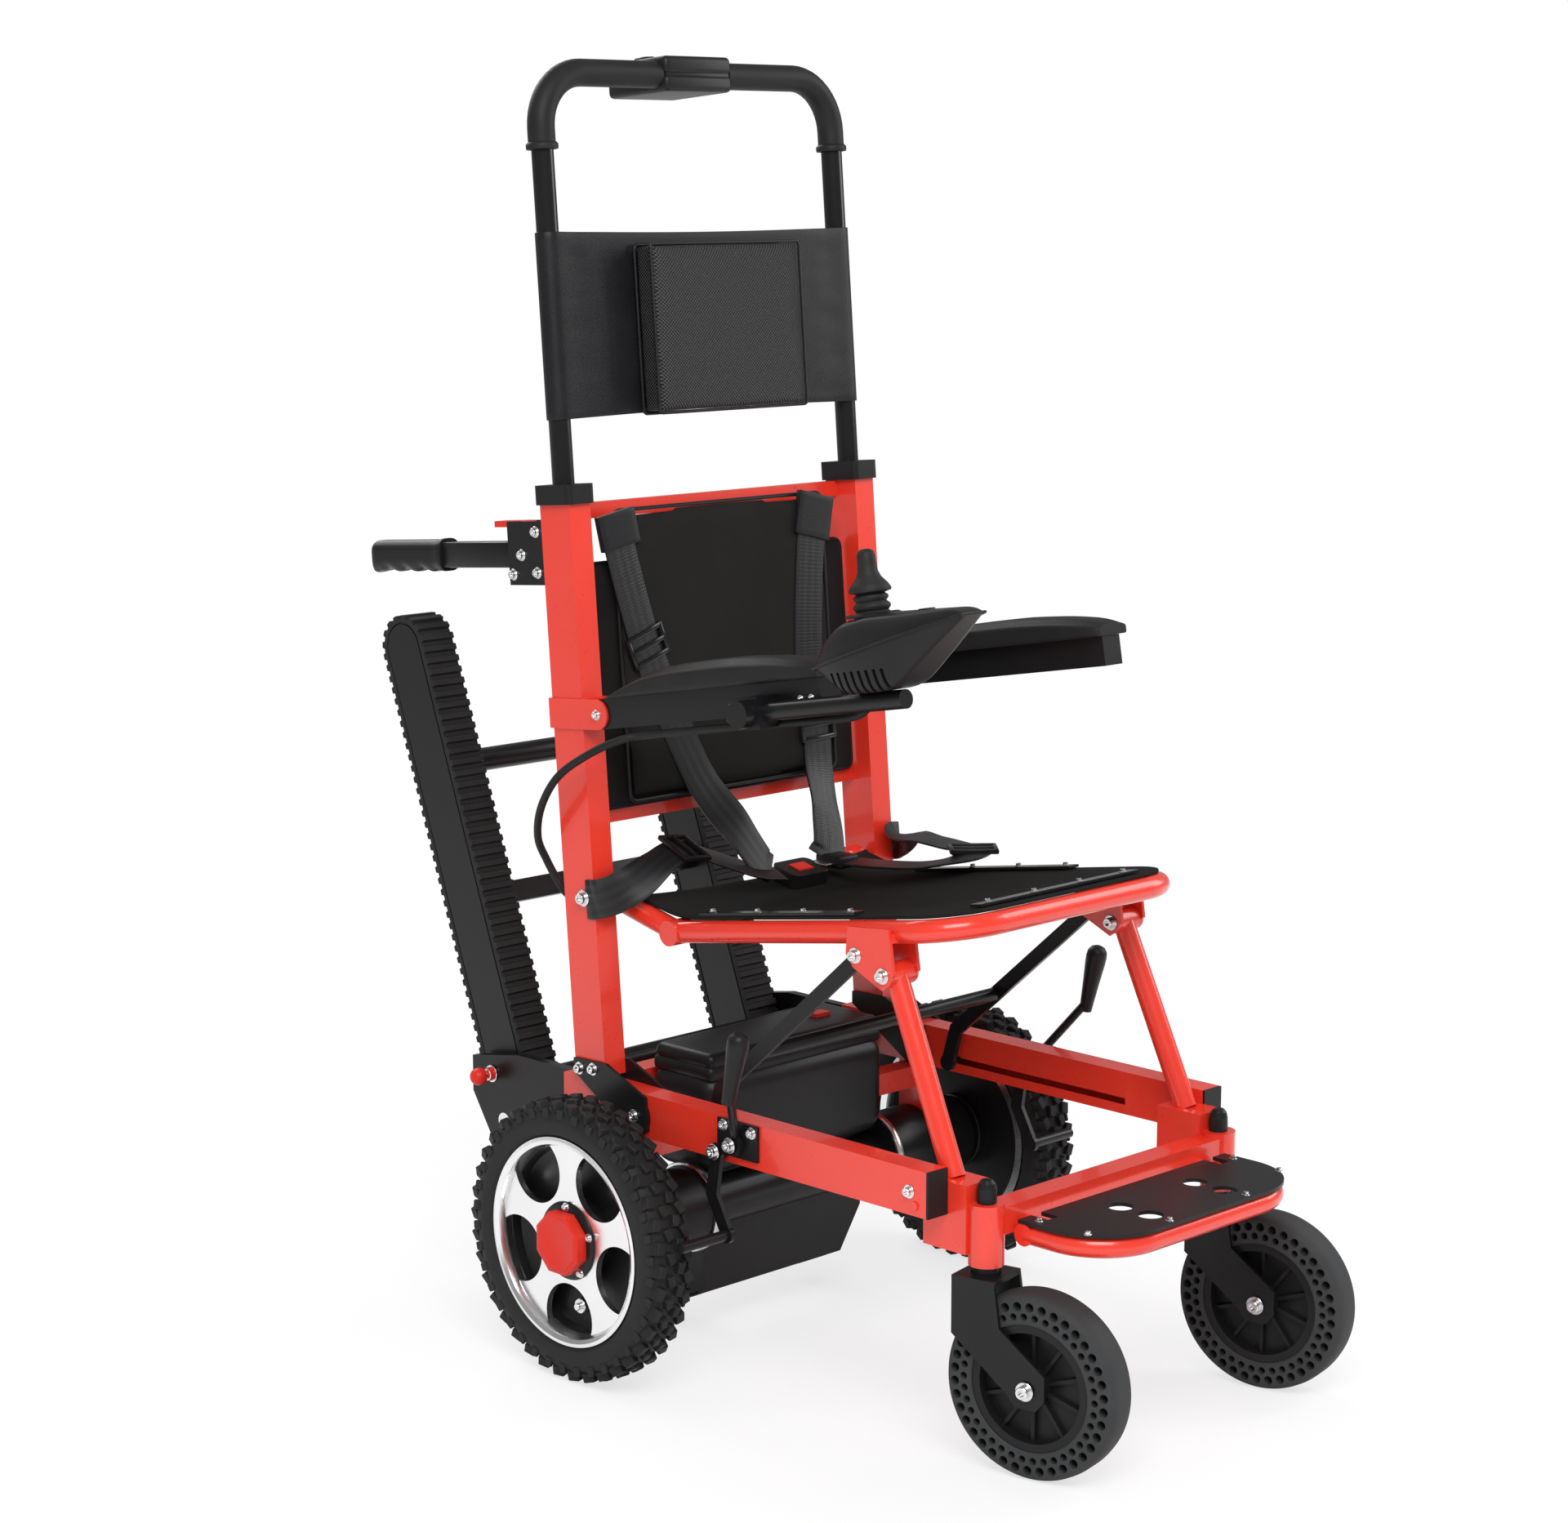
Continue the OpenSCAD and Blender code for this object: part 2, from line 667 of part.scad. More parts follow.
// Small sizes of the drive wheels
rim_w = 51;
rim_t = 19;
spoke_n = 5;
spoke_w = 46;
spoke_t = 9;
spoke_z = 12;
hub_r = 45;
disc_t = 4;
disc_z = -6;
cap_d = 74;
cap_h = 14;
tyre_shares = [[0, -0.86], [0.10, -0.94], [0.42, -1], [0.72, -0.90], [0.92, -0.62], [1, -0.30],
  [1, 0.30], [0.92, 0.62], [0.72, 0.90], [0.42, 1], [0.10, 0.94], [0, 0.86]];

// Frame of a drive wheel: z runs outward along the axle
module on_wheel(s) {
  translate([s * wheel_x, axle_y, axle_z]) rotate([0, s * 90, 0]) children();
}

// Five-spoke rim with its backing disc, hub and centre cap
module wheel_rim(s) color(alloy) on_wheel(s) {
  rotate_extrude() translate([rim_d / 2 - rim_t, -rim_w / 2]) square([rim_t, rim_w]);
  difference() {
    union() {
      for (i = [0:spoke_n - 1]) rotate([0, 0, i * 360 / spoke_n])
        translate([0, -spoke_w / 2, spoke_z - spoke_t / 2]) cube([rim_d / 2 - rim_t / 2, spoke_w, spoke_t]);
      translate([0, 0, -hub_out]) cylinder(h = 2 * hub_out, r = hub_r);
      translate([0, 0, disc_z]) cylinder(h = disc_t, r = rim_d / 2 - rim_t / 2);
    }
    cylinder(h = 3 * hub_out, d = axle_d + fit, center = true);
  }
  translate([0, 0, hub_out]) cylinder(h = cap_h, d = cap_d, $fn = 8);
}
module wheel_rim_r() wheel_rim(-1);
module wheel_rim_l() wheel_rim(1);

// Tyre of a drive wheel
module wheel_tyre(s) color(rubber) on_wheel(s)
  rotate_extrude() translate([rim_d / 2, 0]) polygon(scaled(tyre_shares, (wheel_d - rim_d) / 2, tyre_w / 2));
module wheel_tyre_r() wheel_tyre(-1);
module wheel_tyre_l() wheel_tyre(1);

// Small sizes of the back frame
collar_t = 3;
ear_t = 3;
top_bar_z = 638;
low_bar_z = 291;
back_bar_y = 15;
gusset_front_y = 59;
gusset_front_z = 277;
gusset_top = 19;
gusset_pts = [[fold_y - 23, fold_z - 13], [fold_y - 19, fold_z + 24], [up_y - up_d / 2 - plate_t, up_z + gusset_top],
  [up_y + up_d / 2, up_z + gusset_top - over], [up_y + up_d / 2, up_z + over], [fold_y + 13, fold_z - 20]];
gusset_d = 48;
hinge_in_x = 172;
lift_y = 62;
lift_z = 592;
lift_plate_h = 72;
lift_plate_l = 60;
lift_plate_t = 3;
lift_plate_x = up_w / 2 - lift_plate_t / 2;
release_y = 67;
release_z = 622;
release_pin_d = 8;

// Upright tubes with the armrest collars and ears and the two cross bars
module back_frame() color(red) leaning() {
  for (s = [-1, 1]) difference() {
    union() {
      box([s * rail_x, 0, up_len / 2], [up_w, up_d, up_len]);
      box([s * rail_x, 0, arm_h], [up_w + 2 * collar_t, up_d + 2 * collar_t, arm_bar_h]);
      for (t = [-1, 1]) {
        x = s * rail_x + t * (up_w / 2 + ear_t / 2);
        box([x, -arm_off / 2, arm_h], [ear_t, arm_off, arm_bar_h]);
        xcyl([x, -arm_off, arm_h], ear_t, arm_bar_h);
      }
    }
    box([s * rail_x, 0, up_len / 2], [up_w - 2 * wall, up_d - 2 * wall, up_len + over]);
    xcyl([s * rail_x, -arm_off, arm_h], 2 * up_w, bore_d);
  }
  for (z = [low_bar_z, top_bar_z]) box([0, back_bar_y, z], [2 * up_in, bar_w, bar_w]);
}

// Fold gussets, seat hinge pins and the brackets of the lift handles
module back_brackets() color(black) {
  for (s = [-1, 1]) {
    for (t = [-1, 1]) {
      x = s * rail_x + t * (up_w / 2 + plate_t / 2);
      yz(x, plate_t) polygon(gusset_pts);
      xcyl([x, fold_y, fold_z], plate_t, gusset_d);
    }
    xcyl([s * rail_x, fold_y, fold_z], up_w + plate_t, pin_d);
    xcyl([s * (up_in + hinge_in_x) / 2, seat_y, seat_z], up_in - hinge_in_x, pin_d);
    leaning() {
      for (t = [-1, 1]) box([s * rail_x + t * lift_plate_x, up_d / 2 + lift_plate_l / 2, lift_z + over],
        [lift_plate_t, lift_plate_l, lift_plate_h]);
      xcyl([s * rail_x, lift_y, lift_z], up_w - lift_plate_t, pin_d);
      xcyl([s * rail_x, release_y, release_z], up_w - lift_plate_t, release_pin_d);
    }
  }
}

// Caps on the uprights that guide the handle rods
cap_low = 2;
cap_top = 20;
cap_wall = 5;
module upright_caps() color(black) leaning() {
  for (s = [-1, 1]) difference() {
    round_box([s * rail_x, 0, up_len + (cap_top - cap_low) / 2],
      [up_w + 2 * cap_wall, up_d + 2 * cap_wall, cap_top + cap_low], cap_wall + over);
    box([s * rail_x, 0, up_len - up_d / 2], [up_w, up_d, up_d]);
    translate([s * rail_x, 0, up_len]) cylinder(h = 3 * cap_top, d = rod_d + fit, center = true);
  }
}

// Back upholstery: padded front panel and the wider wing behind it
panel_x = 168;
panel_low = 303;
panel_h = 334;
panel_t = 12;
wing_low = 297;
wing_h = 283;
wing_t = 10;
panel_y = back_bar_y - bar_w / 2 - wing_t - panel_t;
fold_n = 5;
wave = 3;
module back_panel() color(cloth) leaning() {
  translate([0, panel_y + panel_t, panel_low + panel_h / 2]) rotate([90, 0, 0])
    cushion(2 * panel_x, panel_h, panel_t);
  box([0, panel_y + panel_t + wing_t / 2, wing_low + wing_h / 2], [2 * (up_in - collar_t) - over, wing_t, wing_h]);
}

// Padded block on a flat back: w wide in x, h tall in y, crowned to t in z
cushion_shares = [[0.985, 0], [1, 0.30], [0.995, 0.55], [0.96, 0.76], [0.86, 0.90], [0.62, 0.97], [0.30, 1]];
pinch_share = 0.012;
square_share = 0.34;
cushion_n = 48;
function soft(a, w, h) =
  let (c = cos(a), d = sin(a))
  let (x = sign(c) * pow(abs(c), square_share), y = sign(d) * pow(abs(d), square_share))
  [x * w / 2 * (1 - pinch_share * (1 - y * y)), y * h / 2 * (1 - pinch_share * (1 - x * x))];
module cushion(w, h, t) {
  m = len(cushion_shares);
  n = cushion_n;
  pts = [for (q = cushion_shares, i = [0:n - 1])
    let (p = soft((i + 0.5) * 360 / n, w, h)) [p[0] * q[0], p[1] * q[0], t * q[1]]];
  sides = [for (j = [0:m - 2], i = [0:n - 1], k = [0, 1])
    let (a = j * n + i, b = j * n + (i + 1) % n) k == 0 ? [a, a + n, b] : [b, a + n, b + n]];
  polyhedron(concat(pts, [[0, 0, 0], [0, 0, t]]), concat(sides,
    [for (i = [0:n - 1]) [m * n, i, (i + 1) % n]],
    [for (i = [0:n - 1]) [m * n + 1, (m - 1) * n + (i + 1) % n, (m - 1) * n + i]]));
}

// Telescoping push handle
handle_low = up_len - rod_tail;
module handle_path(low, x, d) {
  bent([[rail_x, 0, low], [rail_x, 0, bar_h], [x, 0, bar_h]], bend_r, d);
}
module push_handle() color(black) leaning() {
  bent([[rail_x, 0, handle_low], [rail_x, 0, bar_h], [-rail_x, 0, bar_h], [-rail_x, 0, handle_low]],
    bend_r, rod_d);
}

// Foam sleeves of the push handle
sleeve_l = 84;
sleeve_low = bar_h - sleeve_l;
flange_d = 36;
flange_t = 6;
module grip_sleeve() color(rubber) leaning() {
  for (s = [0, 1]) mirror([s, 0, 0]) difference() {
    union() {
      handle_path(sleeve_low, ctrl_w / 2, foam_d);
      translate([rail_x, 0, sleeve_low]) cylinder(h = flange_t, d = flange_d);
    }
    handle_path(sleeve_low - over, ctrl_w / 2 - over, rod_d + fit);
  }
}

// Control box in the middle of the push handle
ctrl_front = 20;
ctrl_edge = 10;
module control_box() color(black) leaning() difference() {
  round_box([0, ctrl_l / 2 - ctrl_front, bar_h], [ctrl_w, ctrl_l, ctrl_h], ctrl_edge);
  xcyl([0, 0, bar_h], 2 * ctrl_w, rod_d + fit);
}

// Headrest band around the two handle rods
band_t = 3;
pad_drop = 8;
band_r = rod_d / 2 + fit;
module headrest_band() color(cloth) leaning() translate([0, 0, head_z]) linear_extrude(height = head_h) difference() {
  union() {
    square([2 * rail_x, 2 * (band_r + band_t)], center = true);
    for (s = [-1, 1]) translate([s * rail_x, 0]) circle(r = band_r + band_t);
  }
  square([2 * rail_x, 2 * band_r], center = true);
  for (s = [-1, 1]) translate([s * rail_x, 0]) circle(r = band_r);
}

// Headrest cushion on the front of the band
module headrest_cushion() color(cloth) leaning()
  translate([0, -band_r - band_t, head_z + head_h / 2 - pad_drop]) rotate([90, 0, 0]) cushion(pad_w, pad_h, pad_t);

// Folding lift handle behind an upright
lift_w = 24;
lift_h = 30;
lift_l = 148;
grip_w = 32;
grip_h = 40;
grip_l = 132;
grip_r = 14;
module lift_handle(s) color(black) leaning() {
  difference() {
    union() {
      xcyl([s * rail_x, lift_y, lift_z], lift_w, lift_h);
      box([s * rail_x, lift_y + lift_l / 2, lift_z], [lift_w, lift_l, lift_h]);
    }
    xcyl([s * rail_x, lift_y, lift_z], 2 * lift_w, bore_d);
  }
  translate([s * rail_x, lift_y + lift_l, lift_z]) rotate([-90, 0, 0])
    round_box([0, 0, grip_l / 2], [grip_w, grip_h, grip_l], grip_r);
}
module lift_handle_r() lift_handle(-1);
module lift_handle_l() lift_handle(1);

// Red release lever above a lift handle
release_w = 20;
release_hub_d = 17;
release_l = 46;
release_t = 7;
module release_lever(s) color(red) leaning() difference() {
  union() {
    xcyl([s * rail_x, release_y, release_z], release_w, release_hub_d);
    translate([s * rail_x, release_y, release_z + release_hub_d / 2 - release_t / 2])
      box([0, release_l / 2, 0], [release_w, release_l, release_t]);
  }
  xcyl([s * rail_x, release_y, release_z], 2 * release_w, release_pin_d + fit);
}
module release_lever_r() release_lever(-1);
module release_lever_l() release_lever(1);

// Armrest bars; the right one carries the clamp of the controller tube
clamp_front = 285;
clamp_rear = 250;
clamp_out = 272;
clamp_h = 34;
ctl_x = 257;
ctl_z = -13;
clamp_knob_d = 30;
clamp_knob_h = 14;
module arm_bar(s) color(black) on_arm() {
  box([s * rail_x, -arm_l / 2, 0], [rail_w, arm_l, arm_bar_h]);
  xcyl([s * rail_x, 0, 0], rail_w, arm_bar_h);
  xcyl([s * rail_x, 0, 0], up_w + 2 * ear_t, pin_d);
}
module arm_bar_l() arm_bar(1);
module arm_bar_r() {
  arm_bar(-1);
  color(black) on_arm() {
    difference() {
      box([-(rail_out + clamp_out) / 2, -(clamp_front + clamp_rear) / 2, ctl_z],
        [clamp_out - rail_out, clamp_front - clamp_rear, clamp_h]);
      translate([-ctl_x, 0, ctl_z]) rotate([90, 0, 0]) cylinder(h = 2 * clamp_front, d = ctl_tube_d + fit);
    }
    xcyl([-(clamp_out + clamp_knob_h / 2), -(clamp_front + clamp_rear) / 2, ctl_z], clamp_knob_h, clamp_knob_d);
  }
}

// Armrest pads: the rear end tapers so that the pad clears the upright when it flips up
arm_pad_rear = 26;
arm_pad_shares = [[0, 0.05], [0.08, 0.42], [0.17, 0.76], [0.26, 0.94], [0.40, 1], [0.62, 1], [0.80, 0.88], [0.94, 0.68],
  [1, 0.45]];
pad_side_shares = [[-0.90, 0], [-1, 0.30], [-0.99, 0.62], [-0.88, 0.86], [-0.60, 0.96], [-0.25, 1],
  [0.25, 1], [0.60, 0.96], [0.88, 0.86], [0.99, 0.62], [1, 0.30], [0.90, 0]];
module arm_pad(s) color(rubber) on_arm() translate([s * rail_x, -arm_pad_rear, arm_bar_h / 2]) {
  m = len(arm_pad_shares);
  n = len(pad_side_shares);
  pts = [for (q = arm_pad_shares, p = pad_side_shares)
    [p[0] * arm_pad_w / 2, -q[0] * arm_pad_l, p[1] * q[1] * arm_pad_h]];
  sides = [for (j = [0:m - 2], i = [0:n - 1], k = [0, 1])
    let (a = j * n + i, b = j * n + (i + 1) % n) k == 0 ? [a, b, a + n] : [b, b + n, a + n]];
  polyhedron(pts, concat(sides, [for (i = [1:n - 2]) [0, i + 1, i]],
    [for (i = [1:n - 2]) [(m - 1) * n, (m - 1) * n + i, (m - 1) * n + i + 1]]));
}
module arm_pad_r() arm_pad(-1);
module arm_pad_l() arm_pad(1);

// Mounting tube of the controller
ctl_rear = 235;
module controller_tube() color(black) on_arm()
  translate([-ctl_x, -ctl_rear, ctl_z]) rotate([90, 0, 0]) cylinder(h = ctl_tube_l, d = ctl_tube_d);

// Controller box with the wells of the joystick
ctl_start = 386;
ctl_low = ctl_z + ctl_tube_d / 2;
ctl_shares = [[0, 0.42], [0.05, 0.67], [0.22, 0.95], [0.41, 1], [0.97, 0.95], [1, 0.85], [0.55, 0.06], [0.46, 0],
  [0.19, 0], [0.05, 0.23]];
stick_y = 455;
well_d = 50;
well_depth = 2;
yoke_well_d = 26;
yoke_d = 20;
yoke_h = 8;
ctl_top = ctl_low + ctl_h;
well_floor = ctl_top - well_depth;
yoke_floor = well_floor - yoke_h - 2 * over;
stick_rise = 6;
stick_mid = ctl_top + stick_rise;
module controller_box() color(black) on_arm() difference() {
  translate([0, -ctl_start, ctl_low]) yz(-ctl_x, ctl_w)
    polygon([for (q = ctl_shares) [-q[0] * ctl_l, q[1] * ctl_h]]);
  translate([-ctl_x, -stick_y, well_floor]) cylinder(h = ctl_h, d = well_d);
  translate([-ctl_x, -stick_y, yoke_floor]) cylinder(h = ctl_h, d = yoke_well_d);
}

// Gimbal yoke under the joystick
yoke_foot_d = 5;
gimbal_pin_d = 3;
ear_x = 7.5;
yoke_ear_w = 3;
module stick_yoke() color(alloy) on_arm() translate([-ctl_x, -stick_y, 0]) {
  translate([0, 0, well_floor - yoke_h]) cylinder(h = yoke_h, d = yoke_d);
  translate([0, 0, yoke_floor + side_gap]) cylinder(h = well_floor - yoke_h - yoke_floor, d = yoke_foot_d);
  for (s = [-1, 1]) {
    box([s * ear_x, 0, (stick_mid + well_floor) / 2], [yoke_ear_w, 2 * yoke_ear_w, stick_mid - well_floor + 2 * over]);
    xcyl([s * (ear_x + yoke_ear_w / 2), 0, stick_mid], yoke_ear_w, gimbal_pin_d);
  }
}

// Joystick with its bellows and knob
stick_d = 10;
bell_d = 40;
bell_n = 3;
bell_p = 6;
bell_step = 1.5;
bell_fold = 7;
skirt_d = 44;
skirt_top_d = 19;
skirt_h = 20;
stick_knob_d = 20;
knob_cap_h = 8;
knob_cap_d = 18;
knob_top_d = 11;
module joystick() color(rubber) on_arm() translate([-ctl_x, -stick_y, 0]) {
  translate([0, 0, stick_mid]) rotate([90, 0, 0])
    cylinder(h = 2 * stick_d - 2 * over, d = gimbal_pin_d, center = true);
  translate([0, 0, stick_mid - gimbal_pin_d])
    cylinder(h = stick_h - stick_rise + gimbal_pin_d - knob_cap_h, d = stick_d - side_gap);
  for (i = [0:bell_n - 1]) translate([0, 0, stick_mid + 2 * over + i * bell_p])
    cylinder(h = bell_p, d1 = bell_d - i * bell_step, d2 = bell_d - i * bell_step - bell_fold);
  translate([0, 0, stick_mid + 2 * over + bell_n * bell_p]) cylinder(h = skirt_h, d1 = skirt_d, d2 = skirt_top_d);
  translate([0, 0, stick_mid + bell_n * bell_p + skirt_h - over])
    cylinder(h = stick_h - stick_rise - bell_n * bell_p - skirt_h - knob_cap_h + 2 * over, d = stick_knob_d);
  translate([0, 0, ctl_top + stick_h - knob_cap_h]) cylinder(h = knob_cap_h, d1 = knob_cap_d, d2 = knob_top_d);
}

// Controller cable under the right armrest, down behind the upright
cable_d = 9;
cable_run = [[-236, -415.1, 68.2], [-236, -412.1, 58.2], [-236, -401.1, 46.2], [-236, -379.1, 38.2],
  [-236, -339.1, 31.2], [-236, -199.1, 7.2], [-240, -79.1, -13.8], [-255, -51.1, -20.8],
  [-268, -14.1, -38.8], [-276, 30.9, -68.8], [-272, 65.9, -108.8], [-258, 88.9, -148.8],
  [-240, 94.9, -178.8], [-230, 88.9, -201.8], [-228, 75.9, -215.8], [-228, 60.9, -219.8]];
cable_route = [for (q = cable_run) [q[0], arm_p[0] + q[1], arm_p[1] + q[2]]];
cable_sides = 10;
function way(p, i) = unit(p[min(i + 1, len(p) - 1)] - p[max(i - 1, 0)]);
function smooth(p) = [for (i = [0:len(p) - 2], k = [0, 1])
  k == 0 ? p[i] : i == 0 || i == len(p) - 2 ? (p[i] + p[i + 1]) / 2 :
    (p[i] + p[i + 1]) * 9 / 16 - (p[i - 1] + p[i + 2]) / 16];
module cord(route, d, n) {
  p = concat(smooth(route), [route[len(route) - 1]]);
  m = len(p);
  pts = [for (i = [0:m - 1], k = [0:n - 1])
    let (u = way(p, i), e = unit(cross(u, [1, 0, 0])), f = cross(u, e))
    p[i] + d / 2 * (e * cos(k * 360 / n) + f * sin(k * 360 / n))];
  sides = [for (j = [0:m - 2], i = [0:n - 1], k = [0, 1])
    let (a = j * n + i, b = j * n + (i + 1) % n) k == 0 ? [a, b, a + n] : [b, b + n, a + n]];
  polyhedron(pts, concat(sides, [for (i = [1:n - 2]) [0, i + 1, i]],
    [for (i = [1:n - 2]) [(m - 1) * n, (m - 1) * n + i, (m - 1) * n + i + 1]]));
}
module control_cable() color(rubber) cord(cable_route, cable_d, cable_sides);

// Small sizes of the seat
eye_d = 26;
eye_w = 24;
flange_in = 17;
saddle_t = 4;
saddle_up = 10;
saddle_shares = [[-0.29, 0.05], [0.02, -0.29], [0.80, 0.05], [1, 0.30], [0.95, 0.85], [-0.15, 0.95]];
strut_run = 40;
strut_up = 16;
strut_pin_d = 8;
seat_rake = atan((seat_front_z - seat_dip_z) / (seat_dip_y - seat_front_y));
rear_rake = atan((seat_z - seat_dip_z) / (seat_y - seat_dip_y));
seat_run = (seat_dip_y - seat_front_y) / cos(seat_rake);
knuckle_share = 1.16;
dip = 2;

// Height of the seat tube's axis at y, eased through the dip
function seat_line(y) =
  let (a = seat_dip_z + (y - seat_dip_y) * tan(rear_rake), b = seat_dip_z + (seat_dip_y - y) * tan(seat_rake))
  (a + b) / 2 + sqrt((a - b) * (a - b) / 4 + dip * dip);

// Seat tube with its hinge eyes and the saddles of the legs and struts
module seat_frame() color(red) {
  difference() {
    union() {
      translate([0, seat_dip_y, seat_dip_z]) rotate([-seat_rake, 0, 0]) bent([[seat_x, 0, 0],
        [seat_x, -seat_run, 0], [-seat_x, -seat_run, 0], [-seat_x, 0, 0]], seat_r, seat_d);
      for (s = [-1, 1]) translate([s * seat_x, seat_dip_y, seat_dip_z]) {
        rotate([rear_rake - 90, 0, 0]) cylinder(h = (seat_y - seat_dip_y) / cos(rear_rake), d = seat_d);
        xcyl([0, 0, 0], seat_d * knuckle_share, seat_d * knuckle_share);
      }
      for (s = [-1, 1]) xcyl([s * seat_x, seat_y, seat_z], eye_w, eye_d);
    }
    for (s = [-1, 1]) xcyl([s * seat_x, seat_y, seat_z], 2 * eye_w, bore_d);
  }
  for (s = [-1, 1]) {
    translate([s * seat_x, leg_y + saddle_l / 3, seat_line(leg_y + saddle_l / 3)]) rotate([-seat_rake, 0, 0])
      box([0, 0, -saddle_up / 2], [2 * flange_in + saddle_t, saddle_l, saddle_up]);
    for (t = [-1, 1]) {
      x = s * seat_x + t * (flange_in + saddle_t / 2);
      translate([0, leg_y, leg_z]) yz(x, saddle_t) polygon(scaled(saddle_shares, saddle_l, saddle_l));
      xcyl([x, leg_y, leg_z], saddle_t, eye_d);
    }
    xcyl([s * seat_x, leg_y, leg_z], 2 * flange_in + saddle_t, pin_d);
    xcyl([s * seat_x, leg_y + strut_run, leg_z + strut_up], 2 * flange_in + saddle_t, strut_pin_d);
  }
}

// Cloth sling between the seat tubes, sagging in the middle
sling_rear_y = 140;
sling_gap = 0.6;
sling_sag = 8;
sag_run = 140;
sling_n = 12;
sling_m = 10;
function sling_x(y) = let (e = seat_front_y + seat_r - y)
  e > 0 ? seat_x - seat_r + sqrt(max(0, seat_r * seat_r - e * e)) : seat_x;
function sling_z(x, y) = let (u = x / sling_x(y), f = min(1, (y - seat_front_y) / sag_run))
  seat_line(y) + seat_d / 2 + sling_gap - sling_sag * f * (1 - u * u);
module seat_sling() color(cloth) {
  n = sling_n;
  m = sling_m;
  grid = [for (j = [0:n], i = [0:m]) let (y = seat_front_y + (sling_rear_y - seat_front_y) * pow(j / n, 1.4),
    x = sling_x(y) * (2 * i / m - 1)) [x, y, sling_z(x, y)]];
  k = len(grid);
  rim = concat([for (i = [0:m]) i], [for (j = [1:n]) j * (m + 1) + m], [for (i = [1:m]) n * (m + 1) + m - i],
    [for (j = [1:n - 1]) (n - j) * (m + 1)]);
  r = len(rim);
  polyhedron(concat(grid, [for (g = grid) g + [0, 0, sling_t]]), concat(
    [for (j = [0:n - 1], i = [0:m - 1], h = [0, 1]) let (a = j * (m + 1) + i, b = a + m + 1)
      h == 0 ? [a, a + 1, b] : [a + 1, b + 1, b]],
    [for (j = [0:n - 1], i = [0:m - 1], h = [0, 1]) let (a = k + j * (m + 1) + i, b = a + m + 1)
      h == 0 ? [a, b, a + 1] : [a + 1, b, b + 1]],
    [for (i = [0:r - 1], h = [0, 1]) let (a = rim[i], b = rim[(i + 1) % r])
      h == 0 ? [a, a + k, b] : [b, a + k, b + k]]));
}

// Flat strips that hold the sling down along the sides and the front
strip_w = 16;
strip_t = 3;
strip_x = 176;
strip_rear_y = 40;
strip_front_y = -200;
front_strip_y = -325;
front_strip_l = 260;
strip_up = seat_d / 2 + 2 * sling_gap + sling_t;
module seat_strips() color(black) {
  mid = (strip_rear_y + strip_front_y) / 2;
  for (s = [-1, 1]) translate([s * strip_x, mid, seat_line(mid) + strip_up]) rotate([-seat_rake, 0, 0])
    box([0, 0, strip_t / 2], [strip_w, (strip_rear_y - strip_front_y) / cos(seat_rake), strip_t]);
  translate([0, front_strip_y, seat_line(front_strip_y) + strip_up]) rotate([-seat_rake, 0, 0])
    box([0, 0, strip_t / 2], [front_strip_l, strip_w, strip_t]);
}

// Buckle on the sling and its button
buckle_x = 45;
buckle_y = 112;
buckle_w = 58;
buckle_l = 44;
buckle_h = 17;
buckle_r = 9;
button_w = 24;
button_l = 18;
button_h = 8;
button_up = 1.5;
button_t = 6;
button_well = 5;
button_stem_d = 5;
module on_buckle() {
  translate([buckle_x, buckle_y, sling_z(buckle_x, buckle_y) + sling_t + 2 * sling_gap])
    rotate([rear_rake, 0, 0]) children();
}
module buckle() color(black) on_buckle() difference() {
  round_box([0, 0, buckle_h / 2], [buckle_w, buckle_l, buckle_h], buckle_r);
  box([0, 0, buckle_h], [button_w + 2 * side_gap, button_l + 2 * side_gap, 2 * button_h]);
  translate([0, 0, buckle_h - button_h - button_well]) cylinder(h = button_h, d = button_stem_d + fit);
}
module buckle_button() color(red) on_buckle() {
  translate([0, 0, buckle_h + button_up - button_t]) box([0, 0, button_t / 2], [button_w, button_l, button_t]);
  translate([0, 0, buckle_h - button_h - button_well + 2 * button_up])
    cylinder(h = button_h, d = button_stem_d);
}

// Fold struts with their cross bar
strut_x = 194;
strut_t = 6;
strut_w = 17;
strut_mid = [-67, 381];
strut_knee = [-5, 327];
strut_foot = [8, 284];
strut_bar_d = 16;
foot_pin_d = 7;
module struts() color(black) {
  for (s = [-1, 1]) {
    difference() {
      strip(s * strut_x, strut_t, [[leg_y + strut_run, leg_z + strut_up], strut_mid, strut_knee, strut_foot], strut_w);
      xcyl([s * strut_x, leg_y + strut_run, leg_z + strut_up], 3 * strut_t, strut_pin_d + fit);
    }
    xcyl([s * (strut_x + rail_in - side_gap) / 2, strut_foot[0], strut_foot[1]],
      rail_in - side_gap - strut_x, foot_pin_d);
  }
  xcyl([0, strut_mid[0], strut_mid[1]], 2 * strut_x, strut_bar_d);
}

